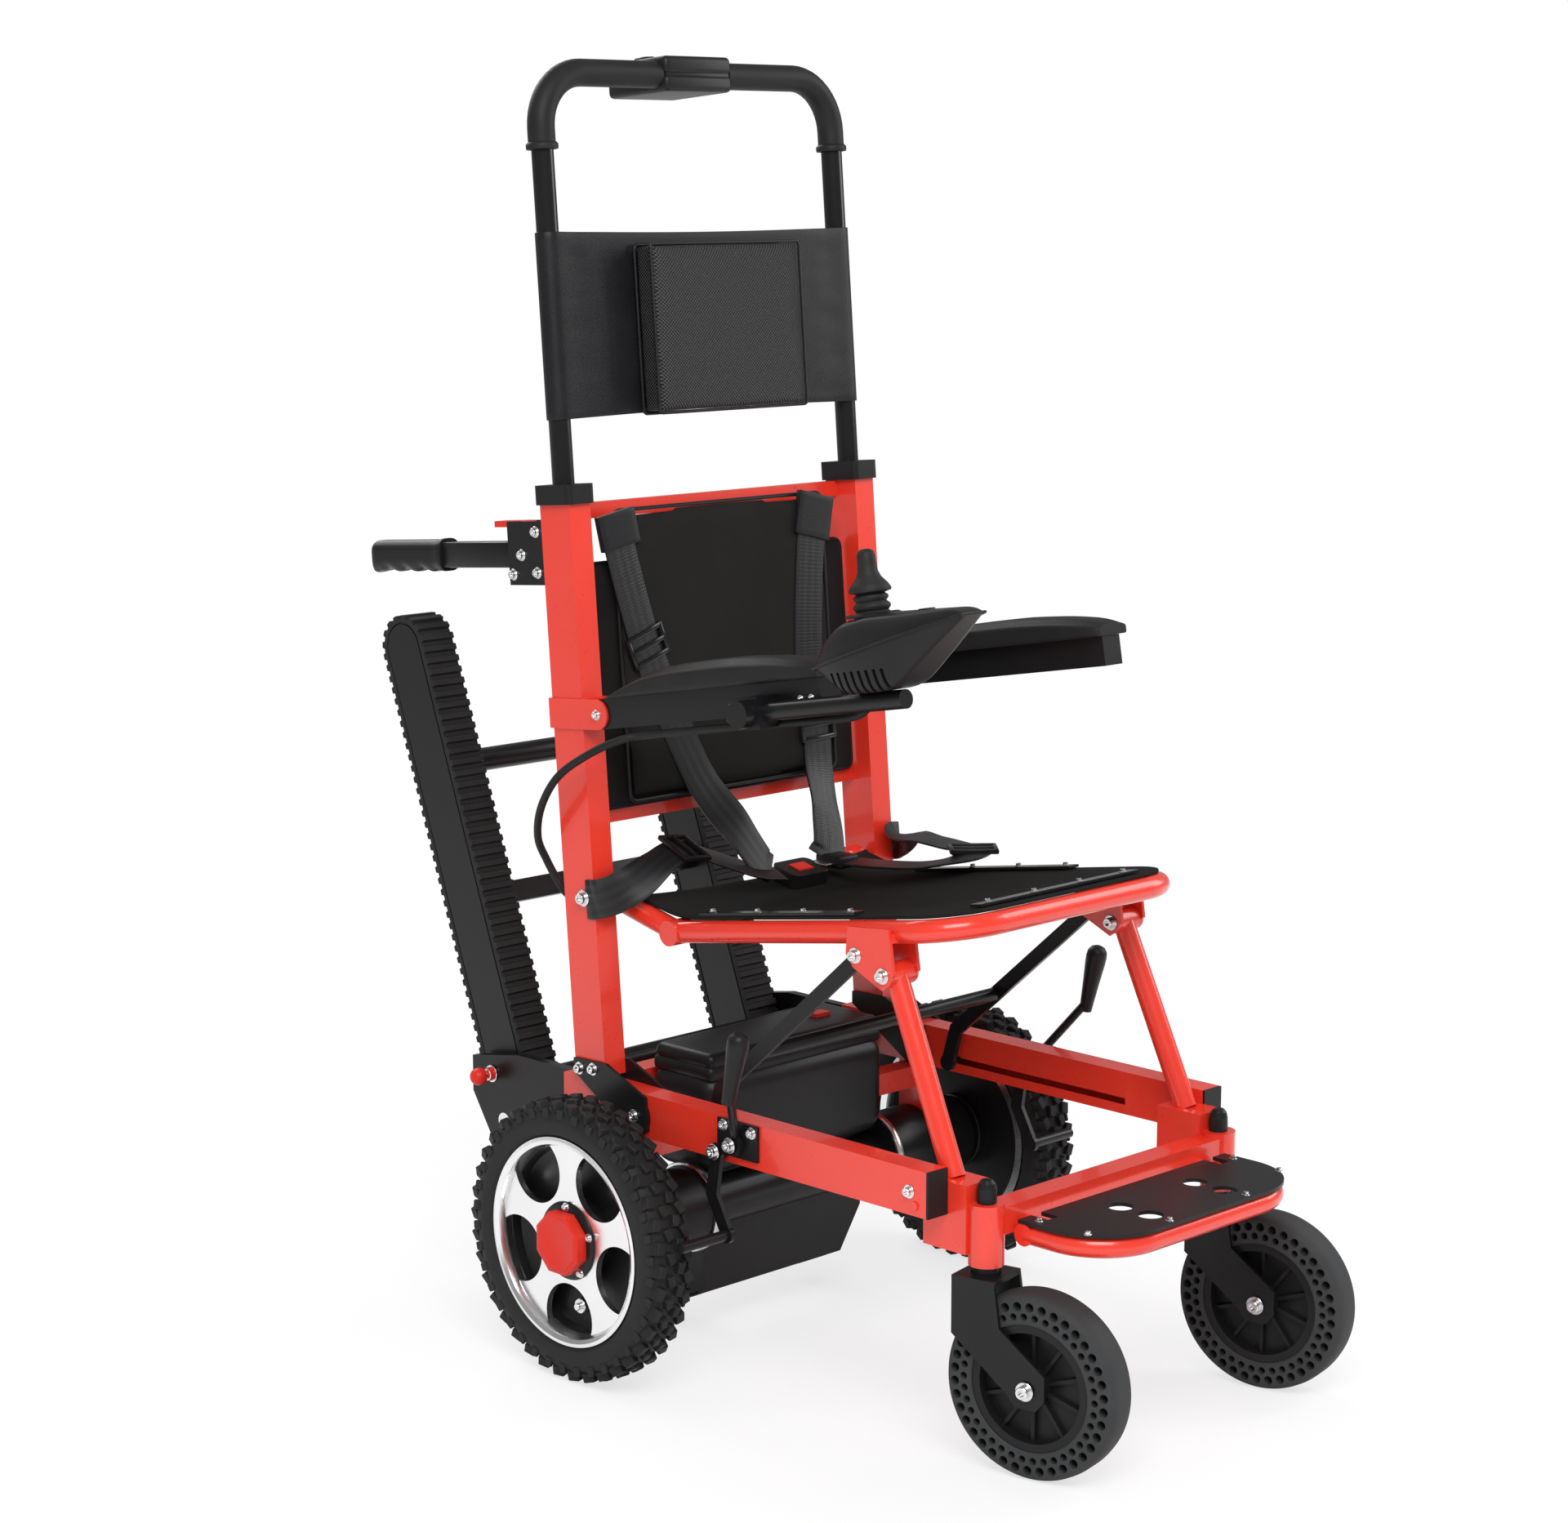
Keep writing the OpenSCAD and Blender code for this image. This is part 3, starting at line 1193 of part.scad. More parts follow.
// Front frame: blocks on the rails, legs, head tubes, cross tube and footplate lugs
block_l = 60;
block_z = 228;
leg_foot_in = 11;
block_y = head_y + block_l / 2 + leg_foot_in;
leg_foot_y = -355;
leg_foot_z = 300;
front_cross_z = 263;
lug_t = 8;
lug_r = foot_d / 2 - side_gap;
lug_x = foot_x - foot_d / 2 - side_gap - lug_t / 2;
stem_d = 20;
module front_frame() color(red) {
  for (s = [-1, 1]) {
    difference() {
      union() {
        rod([s * seat_x, leg_y, leg_z], [s * head_x, leg_foot_y, leg_foot_z], leg_d);
        xcyl([s * seat_x, leg_y, leg_z], 2 * (flange_in - side_gap), eye_d);
      }
      xcyl([s * seat_x, leg_y, leg_z], 4 * flange_in, pin_d + 10 * fit);
    }
    difference() {
      union() {
        box([s * head_x, block_y, block_z + block_h / 2], [block_w, block_l, block_h]);
        translate([s * head_x, head_y, head_z0]) cylinder(h = head_l, d = head_d);
        box([s * head_x / 2, head_y + over, front_cross_z], [head_x, cross_w, cross_w]);
      }
      translate([s * head_x, head_y, head_z0 - over]) cylinder(h = head_l + 2 * over, d = stem_d + fit);
    }
    xcyl([s * (head_x + rail_out + over) / 2, front_y, front_z], rail_out + over - head_x, pin_d);
    difference() {
      union() {
        xcyl([s * lug_x, foot_y, foot_z], lug_t, 2 * lug_r);
        box([s * lug_x, (foot_y + head_y) / 2, foot_z], [lug_t, head_y - foot_y, 2 * lug_r]);
      }
      xcyl([s * lug_x, foot_y, foot_z], 3 * lug_t, bore_d);
    }
  }
}

// Dome caps on the head tubes
dome_h = 26;
dome_d = 21;
dome_shares = [[0, 0], [1, 0], [1, 0.35], [0.97, 0.60], [0.84, 0.82], [0.55, 0.95], [0, 1]];
module dome_caps() color(black) {
  for (s = [-1, 1]) translate([s * head_x, head_y, head_z0 + head_l])
    rotate_extrude() polygon(scaled(dome_shares, dome_d / 2, dome_h));
}

// Footplate tube on its hinge pins
module foot_frame() color(red) {
  bent([[foot_x, foot_y, foot_z], [foot_x, foot_y - foot_l, foot_z], [-foot_x, foot_y - foot_l, foot_z],
    [-foot_x, foot_y, foot_z]], foot_r, foot_d);
  for (s = [-1, 1]) {
    xcyl([s * foot_x, foot_y, foot_z], foot_d - over, foot_d);
    xcyl([s * (foot_x + lug_x - lug_t / 2) / 2, foot_y, foot_z], foot_x - lug_x + lug_t / 2, pin_d);
  }
}

// Footplate on its tube
foot_plate_t = 4;
foot_hole_d = 28;
foot_edge = foot_d / 2;
foot_hole_x = 62;
foot_hole_y = 40;
foot_rear = 6;
module foot_plate() color(black) translate([0, foot_y, foot_z + foot_d / 2]) linear_extrude(height = foot_plate_t)
difference() {
  union() {
    translate([-foot_x - foot_edge, -foot_l + foot_r]) square([2 * (foot_x + foot_edge), foot_l - foot_r + foot_rear]);
    translate([-foot_x + foot_r, -foot_l - foot_edge]) square([2 * (foot_x - foot_r), foot_l]);
    for (s = [-1, 1]) translate([s * (foot_x - foot_r), -foot_l + foot_r]) circle(r = foot_r + foot_edge);
  }
  translate([-2 * foot_x, foot_rear]) square([4 * foot_x, foot_l]);
  for (s = [-1, 1]) {
    translate([s * lug_x, 0]) square([2 * lug_t, 3 * lug_r], center = true);
    for (t = [1, 2]) translate([s * foot_hole_x, -t * foot_hole_y]) circle(d = foot_hole_d);
  }
}

// Casters in the turned frame of their swivel axis
fork_t = 4;
fork_x = caster_w / 2 + fork_t;
crown_z = caster_d + 3;
crown_t = 6;
crown_l = 50;
fork_axle_d = 10;
fork_shares = [[-0.39, 1], [0.39, 1], [0.50, 0.766], [1.34, 0.565], [1.34, 0.44], [1.19, 0.383], [0.81, 0.383],
  [0.66, 0.44], [-0.39, 0.70]];
washer_d = 32;
module on_caster(s) {
  translate([s * head_x, head_y, 0]) rotate([0, 0, caster_turn]) children();
}
module caster_fork(s) color(black) on_caster(s) {
  box([0, 0, crown_z + crown_t / 2], [2 * fork_x + fork_t, crown_l, crown_t]);
  translate([0, 0, crown_z]) cylinder(h = head_z0 - side_gap - crown_z, d = washer_d);
  translate([0, 0, crown_z]) cylinder(h = head_z0 + head_l - side_gap - crown_z, d = stem_d);
  for (t = [-1, 1]) {
    yz(t * fork_x, fork_t) polygon([for (q = fork_shares) [-q[0] * trail, q[1] * (crown_z + crown_t)]]);
  }
  xcyl([0, -trail, caster_d / 2], 2 * fork_x + fork_t + 2 * over, fork_axle_d);
}
module caster_fork_r() caster_fork(-1);
module caster_fork_l() caster_fork(1);

// Caster rim with ribs
hub_wall = 9;
hub_d2 = 36;
hub_web = 12;
rib_n = 10;
rib_t = 4;
module caster_hub(s) color(black) on_caster(s) translate([0, -trail, caster_d / 2]) rotate([0, 90, 0]) {
  difference() {
    cylinder(h = caster_w - 2 * over, d = caster_rim_d, center = true);
    cylinder(h = caster_w, d = caster_rim_d - 2 * hub_wall, center = true);
  }
  difference() {
    union() {
      cylinder(h = caster_w + over, d = hub_d2, center = true);
      cylinder(h = hub_web, d = caster_rim_d - hub_wall, center = true);
      for (i = [0:rib_n - 1]) rotate([0, 0, i * 360 / rib_n])
        translate([0, -rib_t / 2, -hub_web]) cube([caster_rim_d / 2 - hub_wall / 2, rib_t, 2 * hub_web]);
    }
    cylinder(h = 2 * caster_w, d = fork_axle_d + fit, center = true);
  }
}
module caster_hub_r() caster_hub(-1);
module caster_hub_l() caster_hub(1);

// Caster tyre with two rings of through holes
cell_d = 10;
cell_r = 88;
small_cell_d = 8;
small_cell_r = 77;
module caster_tyre(s) color(rubber) on_caster(s) translate([0, -trail, caster_d / 2]) rotate([0, 90, 0])
translate([0, 0, -caster_w / 2]) linear_extrude(height = caster_w) difference() {
  circle(d = caster_d);
  circle(d = caster_rim_d);
  for (i = [0:cell_n - 1]) {
    rotate(i * 360 / cell_n) translate([cell_r, 0]) circle(d = cell_d);
    rotate((i + 0.5) * 360 / cell_n) translate([small_cell_r, 0]) circle(d = small_cell_d);
  }
}
module caster_tyre_r() caster_tyre(-1);
module caster_tyre_l() caster_tyre(1);

// Harness routes: place and facing of the webbing at each point
strap_w = 45;
strap_t = 2.5;
glide_w = 54;
glide_h = 34;
glide_t = 6;
bolt_d = 16;
bolt_h = 5;
front = [0, -1, 0];
near_shoulder = [[[-172, -18, 630], front], [[-165, -18, 590], front], [[-150, -18, 530], front],
  [[-135, -18, 480], front], [[-112, -18, 420], front], [[-85, -18, 360], front], [[-60, -21, 310], front],
  [[-30, -40, 258], front], [[-12, -56, 219], [0, -4, 2]], [[1, -60, 206], [0, -4, 3]]];
far_shoulder = [[[150, -18, 630], front], [[138, -18, 580], front], [[128, -18, 500], front],
  [[124, -18, 430], front], [[130, -18, 360], front], [[127, -22, 310], front], [[115, -42, 258], front],
  [[103, -56, 219], [0, -4, 2]], [[90, -60, 206], [0, -4, 3]]];
near_lap = [[[-245, 160, 526], [-1, 0, 0]], [[-245, 150, 527], [-1, 0, 0]], [[-243, 138, 530], [-4, -3, 0]],
  [[-228, 131, 534], [-1, -4, 1]], [[-200, 126, 545], [0, -2, 2]], [[-165, 126, 562], [0, -1, 3]],
  [[-128, 124, 572], [0, -1, 3]], [[-80, 118, 555], [0, -1, 3]], [[-30, 113, 536], [0, -1, 3]],
  [[8, 112, 529], [0, -1, 3]]];
far_lap = [[[245, 160, 526], [1, 0, 0]], [[245, 150, 527], [1, 0, 0]], [[243, 138, 530], [4, -3, 0]],
  [[230, 128, 535], [1, -3, 2]], [[215, 100, 545], [0, 0, 1]], [[205, 50, 548], [0, 0, 1]],
  [[198, 5, 548], [0, 0, 1]], [[184, -38, 550], [0, 0, 1]], [[152, -44, 546], [0, 0, 1]],
  [[130, -8, 536], [0, 0, 1]], [[114, 40, 532], [0, 0, 1]], [[102, 82, 531], [0, 0, 1]]];
function mids(r) = [for (i = [0:len(r) - 1]) r[i][0]];
function faces(r) = [for (i = [0:len(r) - 1]) r[i][1]];
module strap(route) {
  p = concat(smooth(mids(route)), [route[len(route) - 1][0]]);
  q = concat(smooth(faces(route)), [route[len(route) - 1][1]]);
  m = len(p);
  pts = [for (i = [0:m - 1], k = [[-1, -1], [1, -1], [1, 1], [-1, 1]])
    let (u = way(p, i), e = unit(cross(q[i], u)), f = cross(u, e))
    p[i] + k[0] * e * strap_w / 2 + k[1] * f * strap_t / 2];
  sides = [for (j = [0:m - 2], i = [0:3], k = [0, 1])
    let (a = j * 4 + i, b = j * 4 + (i + 1) % 4) k == 0 ? [a, a + 4, b] : [b, a + 4, b + 4]];
  polyhedron(pts, concat(sides, [[0, 1, 2], [0, 2, 3]], [[4 * m - 4, 4 * m - 2, 4 * m - 3],
    [4 * m - 4, 4 * m - 1, 4 * m - 2]]));
}

// Glide buckle around a strap at step i of its route
module glide(route, i) {
  p = mids(route);
  u = way(p, i);
  e = unit(cross(route[i][1], u));
  f = cross(u, e);
  o = p[i] + f * glide_t / 2;
  multmatrix([[e[0], u[0], f[0], o[0]], [e[1], u[1], f[1], o[1]], [e[2], u[2], f[2], o[2]], [0, 0, 0, 1]])
    cube([glide_w, glide_h, glide_t], center = true);
}

// Shoulder straps and lap belt with their glides and bolts
module harness() color(cloth) {
  leaning() {
    strap(near_shoulder);
    strap(far_shoulder);
    glide(near_shoulder, 3);
    glide(far_shoulder, 4);
  }
  strap(near_lap);
  strap(far_lap);
  glide(near_lap, 6);
  glide(far_lap, 7);
  for (s = [-1, 1]) xcyl([s * (up_out + strap_t + bolt_h / 2), seat_y, seat_z + eye_d / 2], bolt_h, bolt_d);
}

chassis_frame();
rail_caps();
battery_case();
power_switch();
drive_unit();
track_base();
lower_belts();
drive_shaft();
track_frame();
track_belts();
track_pin_r();
track_pin_l();
brake_brackets();
brake_lever_r();
brake_lever_l();
brake_shoe_r();
brake_shoe_l();
wheel_rim_r();
wheel_rim_l();
wheel_tyre_r();
wheel_tyre_l();
back_frame();
back_brackets();
upright_caps();
back_panel();
harness();
buckle();
buckle_button();
push_handle();
grip_sleeve();
control_box();
headrest_band();
headrest_cushion();
lift_handle_r();
lift_handle_l();
release_lever_r();
release_lever_l();
arm_bar_r();
arm_bar_l();
arm_pad_r();
arm_pad_l();
controller_tube();
controller_box();
stick_yoke();
joystick();
control_cable();
seat_frame();
seat_sling();
seat_strips();
struts();
front_frame();
dome_caps();
foot_frame();
foot_plate();
caster_fork_r();
caster_fork_l();
caster_hub_r();
caster_hub_l();
caster_tyre_r();
caster_tyre_l();
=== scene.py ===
# %% [markdown]
# # A folding stair climbing wheelchair
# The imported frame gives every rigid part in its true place, in metres. This lesson dresses it: paint,
# rubber and cloth for the parts that are already right, and new pieces where a real chair has stitching,
# tread or padding. The chair faces -Y, its right side is -X, and the floor is z = 0.

# %% Load the frame
import math

import bpy
from mathutils import Matrix, Vector


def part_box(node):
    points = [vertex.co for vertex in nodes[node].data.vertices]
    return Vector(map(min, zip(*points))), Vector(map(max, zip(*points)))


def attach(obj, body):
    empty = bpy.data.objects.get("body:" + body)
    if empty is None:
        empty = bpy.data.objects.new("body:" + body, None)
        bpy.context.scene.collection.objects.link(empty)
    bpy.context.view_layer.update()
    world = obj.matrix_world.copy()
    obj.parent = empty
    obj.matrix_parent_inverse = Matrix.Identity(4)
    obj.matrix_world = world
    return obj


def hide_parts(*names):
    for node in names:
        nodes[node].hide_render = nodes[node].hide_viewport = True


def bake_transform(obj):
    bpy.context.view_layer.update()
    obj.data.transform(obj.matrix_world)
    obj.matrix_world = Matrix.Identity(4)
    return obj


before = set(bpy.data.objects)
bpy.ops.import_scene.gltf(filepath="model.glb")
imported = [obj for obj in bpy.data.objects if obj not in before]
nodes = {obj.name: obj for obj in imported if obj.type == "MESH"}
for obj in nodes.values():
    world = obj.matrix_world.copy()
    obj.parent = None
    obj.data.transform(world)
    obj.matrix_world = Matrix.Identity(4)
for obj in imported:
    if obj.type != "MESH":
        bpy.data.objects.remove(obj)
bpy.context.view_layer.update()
MM = 0.001

# %% [markdown]
# The camera stands at chest height off the chair's front right corner, about 3.9 m away, with a mild
# telephoto lens. Its place was worked out from the straight edges of the rails and uprights, so that the
# render and the photograph overlay.

# %% Camera
CAMERA_PLACE = Vector((-2.7245, -2.6590, 1.3279))
CAMERA_TURN = math.radians(-44.728)
CAMERA_TILT = math.radians(9.753)
LENS = 78.0


def make_camera():
    right = Vector((math.cos(CAMERA_TURN), math.sin(CAMERA_TURN), 0))
    flat = math.cos(CAMERA_TILT)
    back = Vector((math.sin(CAMERA_TURN) * flat, -math.cos(CAMERA_TURN) * flat, math.sin(CAMERA_TILT)))
    up = back.cross(right)
    turned = Matrix((right, up, back)).transposed().to_4x4()
    data = bpy.data.cameras.new("camera")
    data.lens = LENS
    data.sensor_width = 36
    camera = bpy.data.objects.new("camera", data)
    bpy.context.scene.collection.objects.link(camera)
    camera.matrix_world = Matrix.Translation(CAMERA_PLACE) @ turned
    bpy.context.scene.camera = camera


make_camera()
print("camera at", tuple(CAMERA_PLACE))

# %% [markdown]
# Shader sums read best as plain sums. One small class wraps a node socket, so that `dust * 0.2 + 0.1`
# adds its Math nodes by itself. Every other node comes from one function that sets it up and links it.

# %% A wrapped socket
class Wire:
    def __init__(self, tree, socket):
        self.tree = tree
        self.socket = socket

    def math(self, operation, first, second=None):
        made = self.tree.nodes.new("ShaderNodeMath")
        made.operation = operation
        for place, value in enumerate((first, second)):
            plug(self.tree, made.inputs[place], value)
        return Wire(self.tree, made.outputs[0])

    def __add__(self, other):
        return self.math("ADD", self, other)

    def __radd__(self, other):
        return self.math("ADD", other, self)

    def __sub__(self, other):
        return self.math("SUBTRACT", self, other)

    def __mul__(self, other):
        return self.math("MULTIPLY", self, other)

    def __gt__(self, other):
        return self.math("GREATER_THAN", self, other)

    def wave(self):
        return self.math("SINE", self)

    def root(self):
        return self.math("SQRT", self)


def plug(tree, socket, value):
    if value is None:
        return
    if isinstance(value, Wire):
        tree.links.new(value.socket, socket)
    else:
        socket.default_value = value


def add_node(tree, kind, settings=(), out=0, at=(), **links):
    """One node, linked by the names of its sockets or, in at, by their numbers."""
    made = tree.nodes.new(kind)
    for name, value in dict(settings).items():
        setattr(made, name, value)
    for name, value in links.items():
        plug(tree, made.inputs[name.replace("_", " ")], value)
    for number, value in dict(at).items():
        plug(tree, made.inputs[number], value)
    if isinstance(out, tuple):
        return [Wire(tree, made.outputs[each]) for each in out]
    return Wire(tree, made.outputs[out])


class Finish:
    """A material that starts from Principled."""

    def __init__(self, name, **fixed):
        self.made = bpy.data.materials.new(name)
        self.made.use_nodes = True
        self.tree = self.made.node_tree
        self.surface = self.tree.nodes["Principled BSDF"]
        self.set(**fixed)
        self.place = self.node("ShaderNodeTexCoord", out="Object")

    def node(self, kind, settings=(), out=0, at=(), **links):
        return add_node(self.tree, kind, settings, out, at, **links)

    def noise(self, scale, detail):
        return self.node("ShaderNodeTexNoise", Vector=self.place, Scale=scale, Detail=detail)

    def split(self, place=None):
        return self.node("ShaderNodeSeparateXYZ", out=(0, 1, 2), at={0: place or self.place})

    def mix(self, mask, dark, light):
        ends = {0: mask, 6: (*dark, 1.0), 7: (*light, 1.0)}
        return self.node("ShaderNodeMix", {"data_type": "RGBA"}, 2, ends)

    def set(self, **links):
        for name, value in links.items():
            plug(self.tree, self.surface.inputs[name.replace("_", " ")], value)
        return self

    def bump(self, height, strength, distance):
        dented = self.node("ShaderNodeBump", Height=height, Strength=strength, Distance=distance)
        return self.set(Normal=dented)


WHITE = (1, 1, 1, 1)
print("shader helpers ready")

# %% [markdown]
# The frame is sprayed red-orange enamel: a clear coat gives the sharp highlights, and a faint orange peel
# keeps them from looking like glass. The black fittings are powder coated, which is rougher and finely
# pebbled.

# %% Paints and plastics
def enamel(name, dark, light):
    made = Finish(name, Coat_Roughness=0.06, Specular_IOR_Level=0.5)
    drift = made.noise(5.0, 2.0)
    dust = made.noise(70.0, 4.0)
    made.set(Base_Color=made.mix(drift, dark, light), Roughness=0.24 + dust * 0.10,
             Coat_Weight=0.35 + drift * 0.2)
    return made.bump(made.noise(420.0, 2.0), 0.06, 0.0004).made


def powder(name, dark, light, rough):
    made = Finish(name, Specular_IOR_Level=0.28)
    drift = made.noise(9.0, 3.0)
    grain = made.noise(900.0, 2.0)
    made.set(Base_Color=made.mix(drift, dark, light), Roughness=rough + drift * 0.10)
    return made.bump(grain, 0.10, 0.0003).made


def moulded(name, dark, light, rough):
    made = Finish(name, Specular_IOR_Level=0.22)
    drift = made.noise(12.0, 3.0)
    grain = made.node("ShaderNodeTexVoronoi", Vector=made.place, Scale=1100.0)
    made.set(Base_Color=made.mix(drift, dark, light), Roughness=rough + drift * 0.12)
    return made.bump(grain, 0.12, 0.0003).made


RED_PAINT = enamel("red_enamel", (0.74, 0.030, 0.014), (0.80, 0.042, 0.020))
BLACK_PAINT = powder("black_powder_coat", (0.006, 0.006, 0.007), (0.011, 0.011, 0.012), 0.26)
BLACK_ROD = powder("black_gloss_rod", (0.008, 0.008, 0.009), (0.013, 0.013, 0.014), 0.12)
BLACK_PLASTIC = moulded("black_moulded_plastic", (0.008, 0.008, 0.009), (0.015, 0.015, 0.016), 0.32)
RED_PLASTIC = moulded("red_moulded_plastic", (0.62, 0.020, 0.012), (0.72, 0.035, 0.018), 0.28)
print("paints", RED_PAINT.name, BLACK_PAINT.name)

# %% [markdown]
# Rubber is dark, dull and dusty in patches. Bright metal is turned on a lathe, so its fine lines run
# round the axle; plated bolts have no visible grain and only a soft variation.

# %% Rubber and metal
def rubber(name, dark, light, rough):
    made = Finish(name, Specular_IOR_Level=0.18)
    dust = made.noise(28.0, 5.0)
    skin = made.noise(650.0, 3.0)
    made.set(Base_Color=made.mix(dust, dark, light), Roughness=rough + dust * 0.18)
    return made.bump(skin, 0.16, 0.0005).made


def turned(name, colour, rough, axle):
    made = Finish(name, Specular_IOR_Level=0.5)
    y, z = made.split()[1:]
    far = ((y - axle[0]) * (y - axle[0]) + (z - axle[1]) * (z - axle[1])).root()
    line = (far * 9000.0).wave()
    drift = made.noise(22.0, 3.0)
    made.set(Base_Color=made.mix(drift, colour, (0.93, 0.93, 0.94)), Metallic=1.0,
             Roughness=rough + line * 0.025 + drift * 0.10)
    return made.bump(line, 0.05, 0.0002).made


def plated(name, colour, rough):
    made = Finish(name, Metallic=1.0)
    drift = made.noise(90.0, 3.0)
    made.set(Base_Color=made.mix(drift, colour, (0.86, 0.86, 0.87)), Roughness=rough + drift * 0.14)
    return made.bump(made.noise(1500.0, 2.0), 0.05, 0.0002).made


TYRE_RUBBER = rubber("tyre_rubber", (0.012, 0.012, 0.012), (0.024, 0.024, 0.024), 0.46)
BELT_RUBBER = rubber("belt_rubber", (0.014, 0.014, 0.014), (0.028, 0.028, 0.028), 0.52)
TREAD_RUBBER = rubber("grey_tread_rubber", (0.030, 0.031, 0.032), (0.055, 0.056, 0.058), 0.55)
SOFT_FOAM = rubber("foam_skin", (0.011, 0.011, 0.011), (0.020, 0.020, 0.020), 0.42)
WHEEL_AXLE, WHEEL_X = (0.095, 0.161), 0.318
RIM_ALLOY = turned("turned_alloy", (0.80, 0.80, 0.81), 0.16, WHEEL_AXLE)
BRIGHT_STEEL = plated("plated_steel", (0.70, 0.70, 0.71), 0.18)
print("rubber and metal ready")

# %% [markdown]
# Cloth is told apart by its weave. The back and seat are a plain matt weave, the headrest face is a small
# woven check, its band is grained leatherette, and the belts are satin webbing with ribs along their
# length, whose colour is lighter along the ribs: partly the weave, partly a painted sheen.

# %% Cloth
def plain_cloth(name, dark, light):
    made = Finish(name, Specular_IOR_Level=0.10)
    x, y, z = made.split()
    weave = (x * 4200.0).wave() * ((y + z) * 4200.0).wave()
    drift = made.noise(14.0, 4.0)
    made.set(Base_Color=made.mix(drift * 0.7 + weave * 0.3, dark, light), Roughness=0.78 + drift * 0.12)
    return made.bump(weave, 0.30, 0.0005).made


def check_cloth(name, dark, light):
    made = Finish(name, Specular_IOR_Level=0.25)
    x, y, z = made.split()
    pitch = 2 * math.pi / 0.0042
    across = ((x + y) * pitch).wave()
    along = (z * pitch).wave()
    dot = (across * along) > 0.12
    drift = made.noise(10.0, 3.0)
    made.set(Base_Color=made.mix(dot, dark, light), Roughness=0.34 + drift * 0.10 + dot * 0.10)
    return made.bump(across * along, 0.55, 0.0012).made


def leatherette(name, dark, light):
    made = Finish(name, Specular_IOR_Level=0.25)
    grain = made.node("ShaderNodeTexVoronoi", Vector=made.place, Scale=700.0)
    crease = made.noise(26.0, 5.0)
    made.set(Base_Color=made.mix(crease, dark, light), Roughness=0.34 + crease * 0.16)
    return made.bump(grain + crease * 0.8, 0.20, 0.0007).made


def webbing(name, dark, light):
    made = Finish(name, Specular_IOR_Level=0.42)
    strap = made.node("ShaderNodeUVMap")
    across, along = made.split(strap)[:2]
    rib_and_sheen = (across * 25.0).wave() * 0.6 + (across * 130.0).wave() * 0.4
    pick = (along * 900.0).wave()
    drift = made.noise(16.0, 3.0)
    # The base colour is lighter along the ribs: partly the weave, partly painted sheen bands.
    made.set(Base_Color=made.mix(rib_and_sheen * 0.4 + 0.4 + pick * 0.1, dark, light), Roughness=0.32 + drift * 0.14)
    return made.bump(rib_and_sheen + pick * 0.35, 0.30, 0.0005).made


BACK_CLOTH = plain_cloth("matt_back_cloth", (0.010, 0.0095, 0.009), (0.020, 0.019, 0.018))
CHECK_CLOTH = check_cloth("woven_check", (0.003, 0.003, 0.003), (0.060, 0.060, 0.062))
LEATHERETTE = leatherette("leatherette", (0.006, 0.006, 0.007), (0.013, 0.013, 0.015))
WEBBING = webbing("satin_webbing", (0.005, 0.005, 0.006), (0.016, 0.016, 0.018))
print("cloth ready")

# %% [markdown]
# The parts that are already the right shape keep their solids and only change their finish. The others
# are replaced by new pieces further down.

# %% Finish the solid parts
def dress(material, *names):
    for name in names:
        nodes[name].data.materials.clear()
        nodes[name].data.materials.append(material)


def both(*names):
    return [name + side for name in names for side in ("_r", "_l")]


dress(RED_PAINT, "chassis_frame", "back_frame", "seat_frame", "front_frame", "foot_frame")
dress(BLACK_PAINT, "back_brackets", "struts", "track_base", "track_frame", "drive_unit", "brake_brackets",
      "controller_tube", *both("arm_bar", "brake_shoe", "brake_lever", "caster_fork"))
dress(BLACK_ROD, "push_handle", "seat_strips")
dress(BLACK_PLASTIC, "rail_caps", "upright_caps", "dome_caps", "foot_plate", "buckle", *both("caster_hub"))
dress(RED_PLASTIC, "power_switch", "buckle_button", *both("track_pin", "release_lever"))
dress(BELT_RUBBER, "lower_belts", "track_belts")
dress(BRIGHT_STEEL, "drive_shaft", "stick_yoke")
print("dressed the solids that stay")

# %% [markdown]
# The stage is a wide pale floor under one large soft lamp, with two weaker lamps, as in a catalogue
# studio. The camera sees the background as pure white. As a light it is half as strong, and weaker still
# in reflections, so that black parts stay black. The floor is mostly white to the camera too, which
# leaves only a faint shadow.

# %% Floor, lamps and background
FADE_START, FADE_RATE, FADE_LEAST = 0.55, 1.1, 0.70
WORLD_LIGHT, WORLD_MIRRORED = 0.55, 0.30


def make_floor():
    bpy.ops.object.select_all(action="DESELECT")
    bpy.ops.mesh.primitive_plane_add(size=60)
    floor = bpy.context.object
    floor.name = "floor"
    made = Finish("floor_paper", Specular_IOR_Level=0.1, Roughness=0.9)
    made.set(Base_Color=made.mix(made.noise(0.6, 2.0), (0.90, 0.90, 0.90), (0.93, 0.93, 0.93)))
    x, y = made.split()[:2]
    far = ((x * x + y * y).root() - FADE_START) * FADE_RATE
    seen = made.node("ShaderNodeLightPath", out="Is Camera Ray")
    fade = far.math("MINIMUM", far.math("MAXIMUM", far, FADE_LEAST), 1.0) * seen
    paper = made.node("ShaderNodeEmission", Color=WHITE, Strength=1.0)
    lit = Wire(made.tree, made.surface.outputs[0])
    both_ways = made.node("ShaderNodeMixShader", at={0: fade, 1: lit, 2: paper})
    plug(made.tree, made.tree.nodes["Material Output"].inputs[0], both_ways)
    floor.data.materials.append(made.made)


def lamp(name, place, aim, size, power):
    data = bpy.data.lights.new(name, "AREA")
    data.shape = "RECTANGLE"
    data.size, data.size_y = size
    data.energy = power
    made = bpy.data.objects.new(name, data)
    bpy.context.scene.collection.objects.link(made)
    made.location = place
    made.rotation_euler = (Vector(aim) - Vector(place)).to_track_quat("-Z", "Y").to_euler()


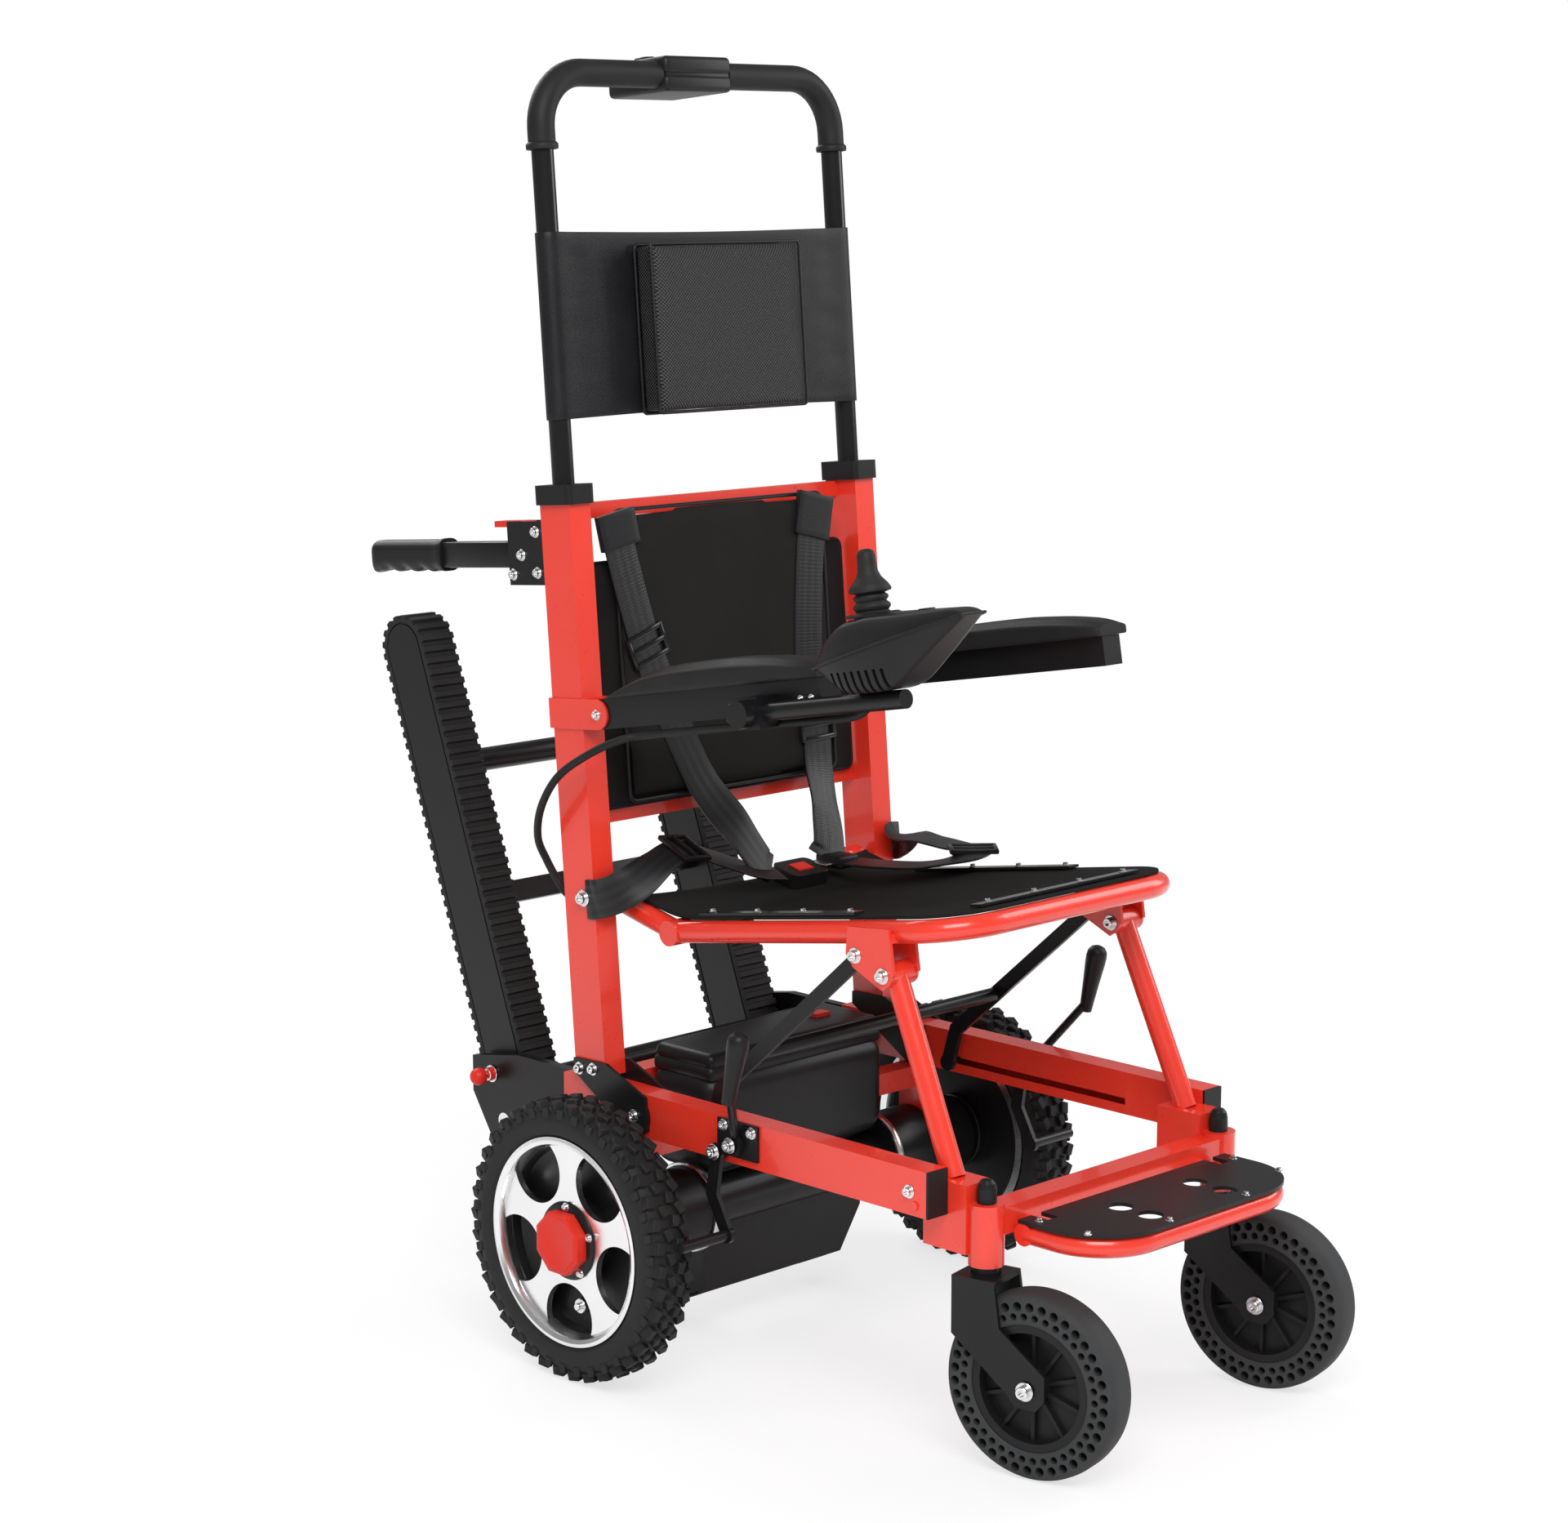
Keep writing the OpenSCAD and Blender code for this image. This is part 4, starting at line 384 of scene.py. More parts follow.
def make_world():
    world = bpy.data.worlds.new("studio")
    bpy.context.scene.world = world
    world.use_nodes = True
    tree = world.node_tree
    seen, mirrored = add_node(tree, "ShaderNodeLightPath", out=("Is Camera Ray", "Is Glossy Ray"))
    ground = tree.nodes["Background"]
    ground.inputs["Color"].default_value = WHITE
    plug(tree, ground.inputs["Strength"],
         seen * (1 - WORLD_LIGHT) + WORLD_LIGHT - mirrored * (WORLD_LIGHT - WORLD_MIRRORED))


make_floor()
make_world()
lamp("key_lamp", (-2.2, -2.4, 3.4), (0, 0, 0.6), (2.6, 2.0), 135)
lamp("side_lamp", (2.8, -1.4, 2.2), (0, 0, 0.7), (1.6, 2.2), 45)
lamp("rear_lamp", (0.4, 3.0, 2.8), (0, 0, 0.7), (2.4, 1.6), 55)
bpy.context.scene.view_settings.view_transform = "Standard"
print("stage ready")

# %% [markdown]
# Every new piece follows the same path: add a primitive, shape it in edit mode, apply its modifiers, put
# its place into the mesh, then say which body it rides on. These helpers keep each later cell short.

# %% Modelling helpers
def only(piece):
    bpy.ops.object.select_all(action="DESELECT")
    piece.select_set(True)
    bpy.context.view_layer.objects.active = piece


def start(kind, **size):
    bpy.ops.object.select_all(action="DESELECT")
    getattr(bpy.ops.mesh, "primitive_" + kind + "_add")(**size)
    return bpy.context.object


def open_mesh(piece, chosen=lambda face: True):
    only(piece)
    bpy.ops.object.mode_set(mode="EDIT")
    bpy.ops.mesh.select_mode(type="FACE")
    bpy.ops.mesh.select_all(action="DESELECT")
    bpy.ops.object.mode_set(mode="OBJECT")
    for face in piece.data.polygons:
        face.select = bool(chosen(face))
    bpy.ops.object.mode_set(mode="EDIT")


def close_mesh():
    bpy.ops.object.mode_set(mode="OBJECT")


def change(piece, kind, **settings):
    only(piece)
    made = piece.modifiers.new(kind.lower(), kind)
    for name, value in settings.items():
        setattr(made, name, value)
    bpy.ops.object.modifier_apply(modifier=made.name)


def soften(piece, width, cuts):
    change(piece, "BEVEL", width=width, segments=cuts, limit_method="ANGLE")


def thicken(piece, thickness, offset, soft):
    change(piece, "SOLIDIFY", thickness=thickness, offset=offset)
    soften(piece, soft, 2)


def settle(piece, place=Matrix()):
    piece.data.transform(place @ piece.matrix_basis)
    piece.matrix_basis = Matrix()
    return piece


def copy(piece, place):
    made = piece.copy()
    made.data = piece.data.copy()
    bpy.context.scene.collection.objects.link(made)
    made.data.transform(place)
    return made


def joined(pieces):
    only(pieces[0])
    for piece in pieces[1:]:
        piece.select_set(True)
    bpy.ops.object.join()
    return pieces[0]


def tidy_faces(piece, gap=1e-5):
    open_mesh(piece)
    bpy.ops.mesh.remove_doubles(threshold=gap)
    bpy.ops.mesh.normals_make_consistent(inside=False)
    close_mesh()


def hand_over(piece, name, body, material, slot, *stands_for, angle=35):
    piece.name = name
    piece.data.name = name
    only(piece)
    bpy.ops.object.shade_smooth_by_angle(angle=math.radians(angle))
    piece.data.materials.clear()
    piece.data.materials.append(material)
    if stands_for:
        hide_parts(*stands_for)
    if body:
        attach(piece, body)
    print(name, len(piece.data.polygons), "faces on", body or "a joint")
    return piece


def shift(x, y, z):
    return Matrix.Translation((x, y, z))


def spun(degrees, axis):
    return Matrix.Rotation(math.radians(degrees), 4, axis)


SIDES = (-1, 1)
BOTH_SIDES = ((-1, "r"), (1, "l"))
LEANING = shift(0, 0.1577, 0.322) @ spun(-4.6, "X")
ON_ARM = shift(0, 0.13907, 0.73884) @ spun(-10, "X")
print("helpers ready")

# %% [markdown]
# Some shapes come back again and again: a soft-edged block, a box or grid moved onto a form, a turned
# ring, and a tube along a path. The ring is a chain of points spun about its axle, as a lathe would cut
# it.

# %% Shared shapes
def block(size, middle, soft, cuts=2):
    """A box with softened edges, all in millimetres."""
    piece = start("cube", size=MM)
    piece.scale = size
    piece.location = Vector(middle) * MM
    settle(piece)
    soften(piece, soft * MM, cuts)
    return piece


def drum(radius, depth, place=(0, 0, 0), sides=48):
    return settle(start("cylinder", vertices=sides, radius=radius, depth=depth, location=place))


def shaped_box(cuts, rule):
    """A box of size 2 cut into a grid, with each point sent to where the rule says."""
    piece = start("cube", size=2)
    open_mesh(piece)
    bpy.ops.mesh.subdivide(number_cuts=cuts)
    close_mesh()
    for spot in piece.data.vertices:
        spot.co = rule(*spot.co)
    return piece


def shaped_grid(columns, rows, rule):
    """A flat grid of size 1, with each point sent to where the rule says."""
    piece = start("grid", x_subdivisions=columns, y_subdivisions=rows, size=1)
    for spot in piece.data.vertices:
        spot.co = rule(spot.co.x, spot.co.y)
    return piece


def cut_away(piece, cutter):
    change(piece, "BOOLEAN", object=cutter, operation="DIFFERENCE", solver="EXACT")
    bpy.data.objects.remove(cutter)


def rounded_off(piece):
    change(piece, "SUBSURF", levels=1, render_levels=1)
    return piece


def mirrored(half):
    return [*half, *[(r, -z) for r, z in reversed(half)], half[0]]


def lathe(profile, steps):
    """A ring spun from (radius, height) points in millimetres."""
    profile = [(r * MM, z * MM) for r, z in profile]
    piece = start("plane", size=0.01)
    open_mesh(piece)
    bpy.ops.mesh.select_mode(type="VERT")
    bpy.ops.mesh.merge(type="CENTER")
    bpy.ops.transform.translate(value=(profile[0][0], 0, profile[0][1]))
    for a, b in zip(profile, profile[1:]):
        bpy.ops.mesh.extrude_vertices_move(TRANSFORM_OT_translate={"value": (b[0] - a[0], 0, b[1] - a[1])})
    bpy.ops.mesh.select_all(action="SELECT")
    bpy.ops.mesh.remove_doubles(threshold=1e-6)
    bpy.ops.mesh.spin(steps=steps, angle=2 * math.pi, center=(0, 0, 0), axis=(0, 0, 1))
    close_mesh()
    tidy_faces(piece)
    return piece


def tube(points, radius, closed, sides):
    data = bpy.data.curves.new("path", "CURVE")
    data.dimensions = "3D"
    data.bevel_depth = radius
    data.bevel_resolution = sides
    data.use_fill_caps = True
    line = data.splines.new("POLY")
    line.points.add(len(points) - 1)
    for spot, point in zip(line.points, points):
        spot.co = (*point, 1)
    line.use_cyclic_u = closed
    piece = bpy.data.objects.new("path", data)
    bpy.context.scene.collection.objects.link(piece)
    only(piece)
    bpy.ops.object.convert(target="MESH")
    return bpy.context.object


FLOW_STEPS = 8


def flowing(points, steps=FLOW_STEPS):
    """A smooth chain of points through the given ones."""
    spots = [Vector(p) for p in points]
    spots = [2 * spots[0] - spots[1], *spots, 2 * spots[-1] - spots[-2]]
    chain = []
    for a, b, c, d in zip(spots, spots[1:], spots[2:], spots[3:]):
        for i in range(steps):
            t = i / steps
            chain.append(0.5 * (2 * b + (c - a) * t + (2 * a - 5 * b + 4 * c - d) * t * t
                                + (3 * b - a - 3 * c + d) * t ** 3))
    return chain + [spots[-2]]


print("shapes ready")

# %% [markdown]
# Plated cap screws hold the plates and brackets. One is modelled with a bevelled head, a pressed washer
# and a round socket, and every other screw is a copy of its mesh turned to face along its own axle.

# %% One cap screw
def cap_screw():
    head = drum(0.5, 0.42, (0, 0, 0.30), 20)
    open_mesh(head, lambda face: face.normal.z > 0.9)
    bpy.ops.mesh.inset(thickness=0.06)
    bpy.ops.transform.translate(value=(0, 0, 0.06))
    bpy.ops.mesh.inset(thickness=0.17)
    bpy.ops.mesh.extrude_region_move(TRANSFORM_OT_translate={"value": (0, 0, -0.26)})
    close_mesh()
    washer = drum(0.74, 0.14, (0, 0, 0.04), 20)
    soften(washer, 0.04, 1)
    return joined([head, washer])


SCREW = cap_screw()


def screws(name, body, spots):
    """spots hold (place, facing, head diameter), in millimetres."""
    made = []
    for place, facing, across in spots:
        turn_to = Vector((0, 0, 1)).rotation_difference(Vector(facing)).to_matrix().to_4x4()
        scale = Matrix.Diagonal((across * MM, across * MM, across * MM, 1))
        made.append(copy(SCREW, Matrix.Translation(Vector(place) * MM) @ turn_to @ scale))
    return hand_over(joined(made), name, body, BRIGHT_STEEL, "alloy")


def moved(place, point):
    return tuple(place @ (Vector(point) * MM) / MM)


print("screw", len(SCREW.data.polygons), "faces")

# %% [markdown]
# The drive wheel's rim is cast alloy with a turned lip and five spokes. The spokes are what is left of a
# flat disc after five round-topped windows are cut from it, so a boolean cut gives their waisted outline
# at once.

# %% Rim of a drive wheel
SPOKES = 5
WINDOW_R, WINDOW_AT, BOLTS_AT = 0.0385, 0.0885, 0.0395


def rim_face():
    lip = lathe([(119, 25.5), (115, 26.2), (110.5, 24), (108, 18.5), (106.8, 10), (106.5, -21),
                 (109, -25.5), (119, -25.5), (119, 25.5)], 96)
    disc = drum(0.1075, 0.0080, (0, 0, 0.0125), 96)
    around = [spun(360 / SPOKES * (i + 0.5), "Z") for i in range(SPOKES)]
    cut_away(disc, joined([settle(drum(WINDOW_R, 0.05, (WINDOW_AT, 0, 0.012)), turn) for turn in around]))
    change(disc, "TRIANGULATE", ngon_method="CLIP")
    return joined([lip, disc])


def rim_dish():
    dish = lathe([(0, -6), (96, -6), (103, -2), (105.8, 8), (106.4, 8), (106.4, -20), (103, -20),
                  (96, -10), (0, -10)], 72)
    hub = lathe([(0, 20), (40.5, 20), (44, 18.5), (45, 16), (45, -19), (44, -20), (0, -20)], 72)
    return joined([dish, hub])


def rim_valve():
    return lathe([(0, 6), (3.5, 6), (4.2, 5.2), (4.2, 1), (8, 1), (8.8, 0), (8.8, -5), (0, -5)], 32)


def rim_cap():
    cap = settle(drum(0.0370, 0.0140, (0, 0, 0.0270), 8), spun(22.5, "Z"))
    open_mesh(cap, lambda face: face.normal.z > 0.9)
    bpy.ops.mesh.inset(thickness=0.0045)
    bpy.ops.mesh.extrude_region_move(TRANSFORM_OT_translate={"value": (0, 0, 0.0012)})
    bpy.ops.mesh.inset(thickness=0.0060)
    bpy.ops.transform.translate(value=(0, 0, -0.0022))
    close_mesh()
    soften(cap, 0.0012, 2)
    return cap


FACE, DISH, CAP, VALVE = rim_face(), rim_dish(), rim_cap(), rim_valve()
print("rim", len(FACE.data.polygons), "faces")

# %% [markdown]
# The tyre is a soft round carcass with rows of chunky blocks. One block is tapered and bevelled, then
# copied round the tread in staggered rows, leaving the dark grooves that break up its edge in profile.

# %% Tyre with its blocks
ROW_BLOCKS = 38


def tread_block(length, width, height):
    piece = start("cube", size=1)
    piece.scale = (height, length, width)
    settle(piece)
    open_mesh(piece, lambda face: face.normal.x > 0.9)
    bpy.ops.transform.resize(value=(1, 0.84, 0.86))
    close_mesh()
    soften(piece, 0.0009, 1)
    return piece


def knobbly_tyre():
    half = [(119, 22.5), (123.5, 27.2), (134, 28.5), (144, 27.2), (150.5, 22.8), (154, 15), (155.2, 6)]
    carcass = lathe(mirrored(half), 96)
    middle = tread_block(0.0150, 0.0100, 0.0100)
    outer = tread_block(0.0160, 0.0120, 0.0110)
    lug = tread_block(0.0110, 0.0050, 0.0110)
    rows = [(middle, 0.1560, 0.0066, 0.0, 14), (middle, 0.1560, -0.0066, 0.5, -14),
            (outer, 0.1535, 0.0190, 0.5, -20), (outer, 0.1535, -0.0190, 0.0, 20),
            (lug, 0.1460, 0.0262, 0.0, 0), (lug, 0.1460, -0.0262, 0.5, 0)]
    made = [carcass]
    for shape, far, side, offset, skew in rows:
        for i in range(ROW_BLOCKS):
            turn = spun(360 * (i + offset) / ROW_BLOCKS, "Z")
            made.append(copy(shape, turn @ shift(far, 0, side) @ spun(skew, "X")))
    for shape in (middle, outer, lug):
        bpy.data.objects.remove(shape)
    return joined(made)


TYRE = knobbly_tyre()
print("tyre", len(TYRE.data.polygons), "faces")

# %% [markdown]
# Both wheels are the same casting, mirrored by turning it round, so each side gets its own copies.

# %% Both drive wheels
def fit_wheel(side, tag):
    body = "wheel_" + tag
    place = shift(side * WHEEL_X, *WHEEL_AXLE) @ spun(90 * side, "Y")
    hand_over(copy(FACE, place), "rim_face_" + tag, body, RIM_ALLOY, "alloy", "wheel_rim_" + tag)
    hand_over(copy(DISH, place), "rim_dish_" + tag, body, BLACK_PAINT, "black_steel")
    hand_over(copy(VALVE, place @ shift(-0.080, 0, 0)), "rim_valve_" + tag, body, BRIGHT_STEEL, "alloy")
    hand_over(copy(CAP, place), "rim_cap_" + tag, body, RED_PLASTIC, "red_plastic")
    hand_over(copy(TYRE, place), "knobbly_tyre_" + tag, body, TYRE_RUBBER, "tyre_rubber",
              "wheel_tyre_" + tag)
    bolts = []
    for i in range(SPOKES):
        turn = math.radians(360 / SPOKES * i)
        spot = place @ Vector((BOLTS_AT * math.cos(turn), BOLTS_AT * math.sin(turn), 0.0195))
        bolts.append((tuple(spot / MM), (side, 0, 0), 7.0))
    screws("rim_bolts_" + tag, body, bolts)


for side, tag in BOTH_SIDES:
    fit_wheel(side, tag)
for shape in (FACE, DISH, CAP, VALVE, TYRE):
    bpy.data.objects.remove(shape)

# %% [markdown]
# The soft pads start as boxes. A cloth simulation with a little air pressure swells them so that the
# faces crown and the sides pull in between the corners; the cap keeps the swelling to what a firm foam
# pad shows.

# %% A swelling pad
VOXEL = 0.005
SIM_FRAMES = 20


def pillow(width, height, deep, round_share, edge_share, cuts=22):
    """A closed pad in x and z with rounded corners, thickest in the middle; its face looks along -y."""
    def rule(x, y, z):
        far = max(abs(x), abs(z))
        bow = 1 - round_share * (x * z) ** 2 * 0.5
        full = edge_share + (1 - edge_share) * (1 - far ** 6) ** 0.5
        return x * bow * width / 2, y * full * deep / 2, z * bow * height / 2

    return shaped_box(cuts, rule)


def swell(piece, cap, pressure=4.0):
    only(piece)
    change(piece, "REMESH", mode="VOXEL", voxel_size=VOXEL)
    rest = [spot.co.copy() for spot in piece.data.vertices]
    cloth = piece.modifiers.new("cloth", "CLOTH")
    cloth.settings.use_pressure = True
    cloth.settings.uniform_pressure_force = pressure
    cloth.settings.effector_weights.gravity = 0
    for step in range(1, SIM_FRAMES + 1):
        bpy.context.scene.frame_set(step)
    bpy.ops.object.modifier_apply(modifier=cloth.name)
    bpy.context.scene.frame_set(1)
    for spot, old in zip(piece.data.vertices, rest):
        way = spot.co - old
        if way.length > cap:
            spot.co = old + way * (cap / way.length)
    return rounded_off(piece)


def flat_behind(piece, limit):
    for spot in piece.data.vertices:
        spot.co.y = min(spot.co.y, limit)
    return piece


print("pads ready")

# %% [markdown]
# The headrest is a leatherette band round both push rods with a boxed cushion sewn to its front. The band
# is a sheet: a grid wrapped round the two rods, drawn in a little between them where the leatherette is
# slack.

# %% Headrest band and cushion
HEAD_LOW, HEAD_HIGH, HEAD_PAD = 0.742, 0.949, 0.8375
ROD_X = 0.228
BAND_R = 0.0146
BAND_LONG = 4 * ROD_X + 2 * math.pi * BAND_R


def band_point(share):
    """A point round the loop, in x and y, from the middle of the front."""
    run = share * BAND_LONG
    if run > BAND_LONG / 2:
        x, y = band_point(1 - share)
        return -x, y
    if run <= ROD_X:
        return run, -BAND_R
    turn = (run - ROD_X) / BAND_R
    if turn <= math.pi:
        return ROD_X + BAND_R * math.sin(turn), -BAND_R * math.cos(turn)
    return BAND_LONG / 2 - run, BAND_R


def band_spot(along, up):
    x, y = band_point(min(max(along + 0.5, 0), 1))
    slack = max(0.0, 1 - (x / ROD_X) ** 2)
    near_rod = math.exp(-((abs(x) - 0.20) / 0.022) ** 2)
    crease = math.sin(up * 37 + math.sin(up * 11 + 2) * 2.2) * 0.0009 * near_rod
    y += -math.copysign(0.0008 * slack + crease, y) if abs(x) < ROD_X else 0
    edge = 0.0025 * math.cos(x / ROD_X * 1.6) * math.copysign(1, up) * (abs(up) * 2) ** 4
    return x, y, (HEAD_LOW + HEAD_HIGH) / 2 + up * (HEAD_HIGH - HEAD_LOW) - edge


def headrest_loop():
    piece = shaped_grid(160, 24, band_spot)
    tidy_faces(piece, 1e-6)
    thicken(piece, 0.0024, -1.0, 0.0008)
    return settle(piece, LEANING)


BAND = hand_over(headrest_loop(), "headrest_wrap", "headrest", LEATHERETTE, "leatherette", "headrest_band")
CUSHION = pillow(0.234, 0.189, 0.030, 0.03, 0.93)
settle(CUSHION, shift(0, -0.0325, HEAD_PAD))
swell(CUSHION, 0.0015)
flat_behind(CUSHION, -0.0178)
hand_over(settle(CUSHION, LEANING), "headrest_pad", "headrest", CHECK_CLOTH, "cloth", "headrest_cushion")

# %% [markdown]
# Piping is a cord sewn into a seam. It follows the edge of the cushion and of the back panel just outside
# the cloth, so that each edge has the thin line that a bound seam shows.

# %% Piping
def round_outline(width, height, corner, count=8):
    spots = []
    for cx, cz, begin in ((1, 1, 0), (-1, 1, 90), (-1, -1, 180), (1, -1, 270)):
        for i in range(count + 1):
            turn = math.radians(begin + 90 * i / count)
            spots.append((cx * (width / 2 - corner) + corner * math.cos(turn),
                          cz * (height / 2 - corner) + corner * math.sin(turn)))
    return spots


def piping(name, body, width, height, corner, deep, middle, radius):
    line = [LEANING @ Vector((x, deep, middle + z)) for x, z in round_outline(width, height, corner)]
    return hand_over(tube(line, radius, True, 3), name, body, LEATHERETTE, "leatherette")


for tag, deep in (("front", -0.0462), ("back", -0.0190)):
    piping("headrest_piping_" + tag, "headrest", 0.235, 0.190, 0.005, deep, HEAD_PAD, 0.0018)

# %% [markdown]
# The back panel is a thin padded cloth sheet hung between two cross bars. Behind it a wider wing of the
# same cloth reaches to the uprights. Both are bound with tape along their edges.

# %% Back panel and wing
PANEL = pillow(0.334, 0.332, 0.0115, 0.06, 0.55, 30)
settle(PANEL, shift(0, -0.0100, 0.470))
swell(PANEL, 0.002, 2.0)
flat_behind(PANEL, -0.0042)
hand_over(settle(PANEL, LEANING), "back_cloth", "back", BACK_CLOTH, "cloth", "back_panel")
WING = pillow(0.416, 0.281, 0.0095, 0.05, 0.6, 26)
settle(WING, shift(0, 0.0012, 0.4385))
hand_over(settle(WING, LEANING), "back_wing", "back", BACK_CLOTH, "cloth")
piping("back_binding", "back", 0.334, 0.332, 0.010, -0.0105, 0.470, 0.0024)
piping("wing_binding", "back", 0.412, 0.278, 0.010, 0.0012, 0.4385, 0.0028)

# %% [markdown]
# The belts are flat webbing. Each is a narrow grid laid along its route, facing outwards from what it
# lies on, with Solidify for its thickness. The grid keeps its UVs, so the ribs of the weave follow the
# strap round every bend.

# %% Belts
STRAP_W, STRAP_T = 0.045, 0.0022
SLEEVE_W, SLEEVE_T = 0.056, 0.0075
OUT, UP, TILT = (0, -1, 0), (0, 0, 1), (0, -1, 3)
NEAR_SHOULDER = [((-172, -18, 630), OUT), ((-165, -18, 590), OUT), ((-150, -18, 530), OUT),
                 ((-135, -18, 480), OUT), ((-112, -18, 420), OUT), ((-85, -18, 360), OUT),
                 ((-60, -21, 310), OUT), ((-30, -40, 258), OUT), ((-12, -56, 219), (0, -4, 2)),
                 ((1, -60, 206), (0, -4, 3))]
FAR_SHOULDER = [((150, -18, 630), OUT), ((138, -18, 580), OUT), ((128, -18, 500), OUT),
                ((124, -18, 430), OUT), ((130, -18, 360), OUT), ((127, -22, 310), OUT),
                ((115, -42, 258), OUT), ((103, -56, 219), (0, -4, 2)), ((90, -60, 206), (0, -4, 3))]
NEAR_LAP = [((-245, 160, 526), (-1, 0, 0)), ((-245, 150, 527), (-1, 0, 0)),
            ((-243, 138, 530), (-4, -3, 0)), ((-228, 131, 534), (-1, -4, 1)),
            ((-200, 126, 545), (0, -2, 2)), ((-165, 126, 562), TILT), ((-128, 124, 572), TILT),
            ((-80, 118, 555), TILT), ((-30, 113, 536), TILT), ((8, 112, 529), TILT)]
FAR_LAP = [((245, 160, 526), (1, 0, 0)), ((245, 150, 527), (1, 0, 0)), ((243, 138, 530), (4, -3, 0)),
           ((230, 128, 535), (1, -3, 2)), ((215, 100, 545), UP), ((205, 50, 548), UP),
           ((198, 5, 548), UP), ((184, -38, 550), UP), ((152, -44, 546), UP), ((130, -8, 536), UP),
           ((114, 40, 532), UP), ((102, 82, 531), UP)]


def strap_frames(route, place):
    turn = place.to_3x3()
    line = [place @ (p * MM) for p in flowing([p for p, f in route])]
    face = [turn @ f for f in flowing([f for p, f in route])]
    frames = []
    for i, spot in enumerate(line):
        along = (line[min(i + 1, len(line) - 1)] - line[max(i - 1, 0)]).normalized()
        side = face[i].cross(along).normalized()
        frames.append((spot, along, side, along.cross(side)))
    return frames


def lay_strap(route, place, wide=STRAP_W, thick=STRAP_T):
    frames = strap_frames(route, place)
    count = len(frames) - 1

    def rule(across, run):
        middle, _, side, out = frames[round((run + 0.5) * count)]
        return middle + side * across * wide + out * 0.0006 * (1 - (2 * across) ** 2)

    piece = shaped_grid(6, count, rule)
    thicken(piece, thick, 0.0, 0.0005)
    return piece


def belt(name, route, place, start_at, end_at, *stands_for):
    piece = lay_strap(route, place)
    hand_over(piece, name, None, WEBBING, "webbing", *stands_for)
    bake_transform(piece)
    return piece


belt("belt_near_shoulder", NEAR_SHOULDER, LEANING, (-0.03, 0.13, 0.62), (0.01, 0.11, 0.53), "harness")
belt("belt_far_shoulder", FAR_SHOULDER, LEANING, (0.11, 0.13, 0.62), (0.08, 0.11, 0.53))
belt("belt_near_lap", NEAR_LAP, Matrix(), (-0.225, 0.13, 0.535), (-0.13, 0.124, 0.560))
belt("belt_far_lap", FAR_LAP, Matrix(), (0.236, 0.135, 0.533), (0.210, 0.07, 0.547))

for tag, route in (("near", NEAR_SHOULDER), ("far", FAR_SHOULDER)):
    top = [(Vector(p) + Vector((0, -0.8, 5)), f) for p, f in route[:2]]
    SLEEVE = lay_strap(top, LEANING, SLEEVE_W, SLEEVE_T)
    hand_over(SLEEVE, "belt_sleeve_" + tag, "back", LEATHERETTE, "leatherette")

# %% [markdown]
# Each strap runs through a glide that sets its length: a dark frame with a bar across the middle. The
# buckle takes a plated tongue, held in a moulded sleeve at the end of the far strap.

# %% Glides
def glide_frame():
    parts = [block((57, 6, 6), (0, y, 0), 1.8) for y in (-16, 0, 16)]
    parts += [block((5.6, 38, 6), (x, 0, 0), 1.8) for x in (-26.2, 26.2)]
    return joined(parts)


GLIDE = glide_frame()


def fit_glide(name, body, route, step, place=Matrix()):
    spot, along, side, out = strap_frames(route, place)[step * FLOW_STEPS]
    turn = Matrix((side, along, out)).transposed().to_4x4()
    place = Matrix.Translation(spot + out * STRAP_T) @ turn
    hand_over(copy(GLIDE, place), name, body, BLACK_ROD, "black_steel")


fit_glide("glide_near_shoulder", "back", NEAR_SHOULDER, 3, LEANING)
fit_glide("glide_far_shoulder", "back", FAR_SHOULDER, 4, LEANING)
fit_glide("glide_near_lap", "seat", NEAR_LAP, 6)
fit_glide("glide_far_lap", "seat", FAR_LAP, 7)
bpy.data.objects.remove(GLIDE)
TONGUE = block((18, 30, 3), (80, 108, 529), 0.8)
hand_over(TONGUE, "buckle_tongue", "seat", BRIGHT_STEEL, "alloy")
TONGUE_SLEEVE = block((32, 42, 15), (103, 106, 530), 3, 3)
hand_over(TONGUE_SLEEVE, "tongue_sleeve", "seat", BLACK_PLASTIC, "black_plastic")
screws("belt_bolts", "back", [((s * 246.5, 164, 527), (s, 0, 0), 13) for s in SIDES])

# %% [markdown]
# The seat is a sling of doubled cloth, tight over the side tubes and sagging a little between them. It is
# cut from one sheet, so a single grid follows the tube line and dips towards its middle.

# %% Seat sling
SEAT_DIP = (0.074, 0.493)
SEAT_RAKE = math.radians(9.02)
SLING_CORNER, SLING_SAG, SLING_UP = 0.064, 0.008, 0.0150
REAR_RAKE = math.atan((0.514 - 0.493) / (0.164 - 0.074))


def seat_line(y):
    rear = SEAT_DIP[1] + (y - SEAT_DIP[0]) * math.tan(REAR_RAKE)
    front = SEAT_DIP[1] + (SEAT_DIP[0] - y) * math.tan(SEAT_RAKE)
    return (rear + front) / 2 + math.sqrt((rear - front) ** 2 / 4 + 0.004 ** 2)


def sling():
    low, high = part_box("seat_sling")

    def rule(across, run):
        u, y = across * 2, low[1] + (run + 0.5) * (high[1] - low[1])
        corner = max(0.0, 1 - (y - low[1]) / SLING_CORNER)
        half = high[0] - SLING_CORNER * (1 - math.sqrt(max(0.0, 1 - corner ** 2)))
        sag = SLING_SAG * (1 - u * u) * min(1, (y - low[1]) / 0.14)
        return u * half, y, seat_line(y) + SLING_UP - sag

    piece = shaped_grid(48, 64, rule)
    thicken(piece, 0.0036, 0.0, 0.0010)
    return piece


SLING = hand_over(sling(), "seat_cloth", "seat", BACK_CLOTH, "cloth", "seat_sling")

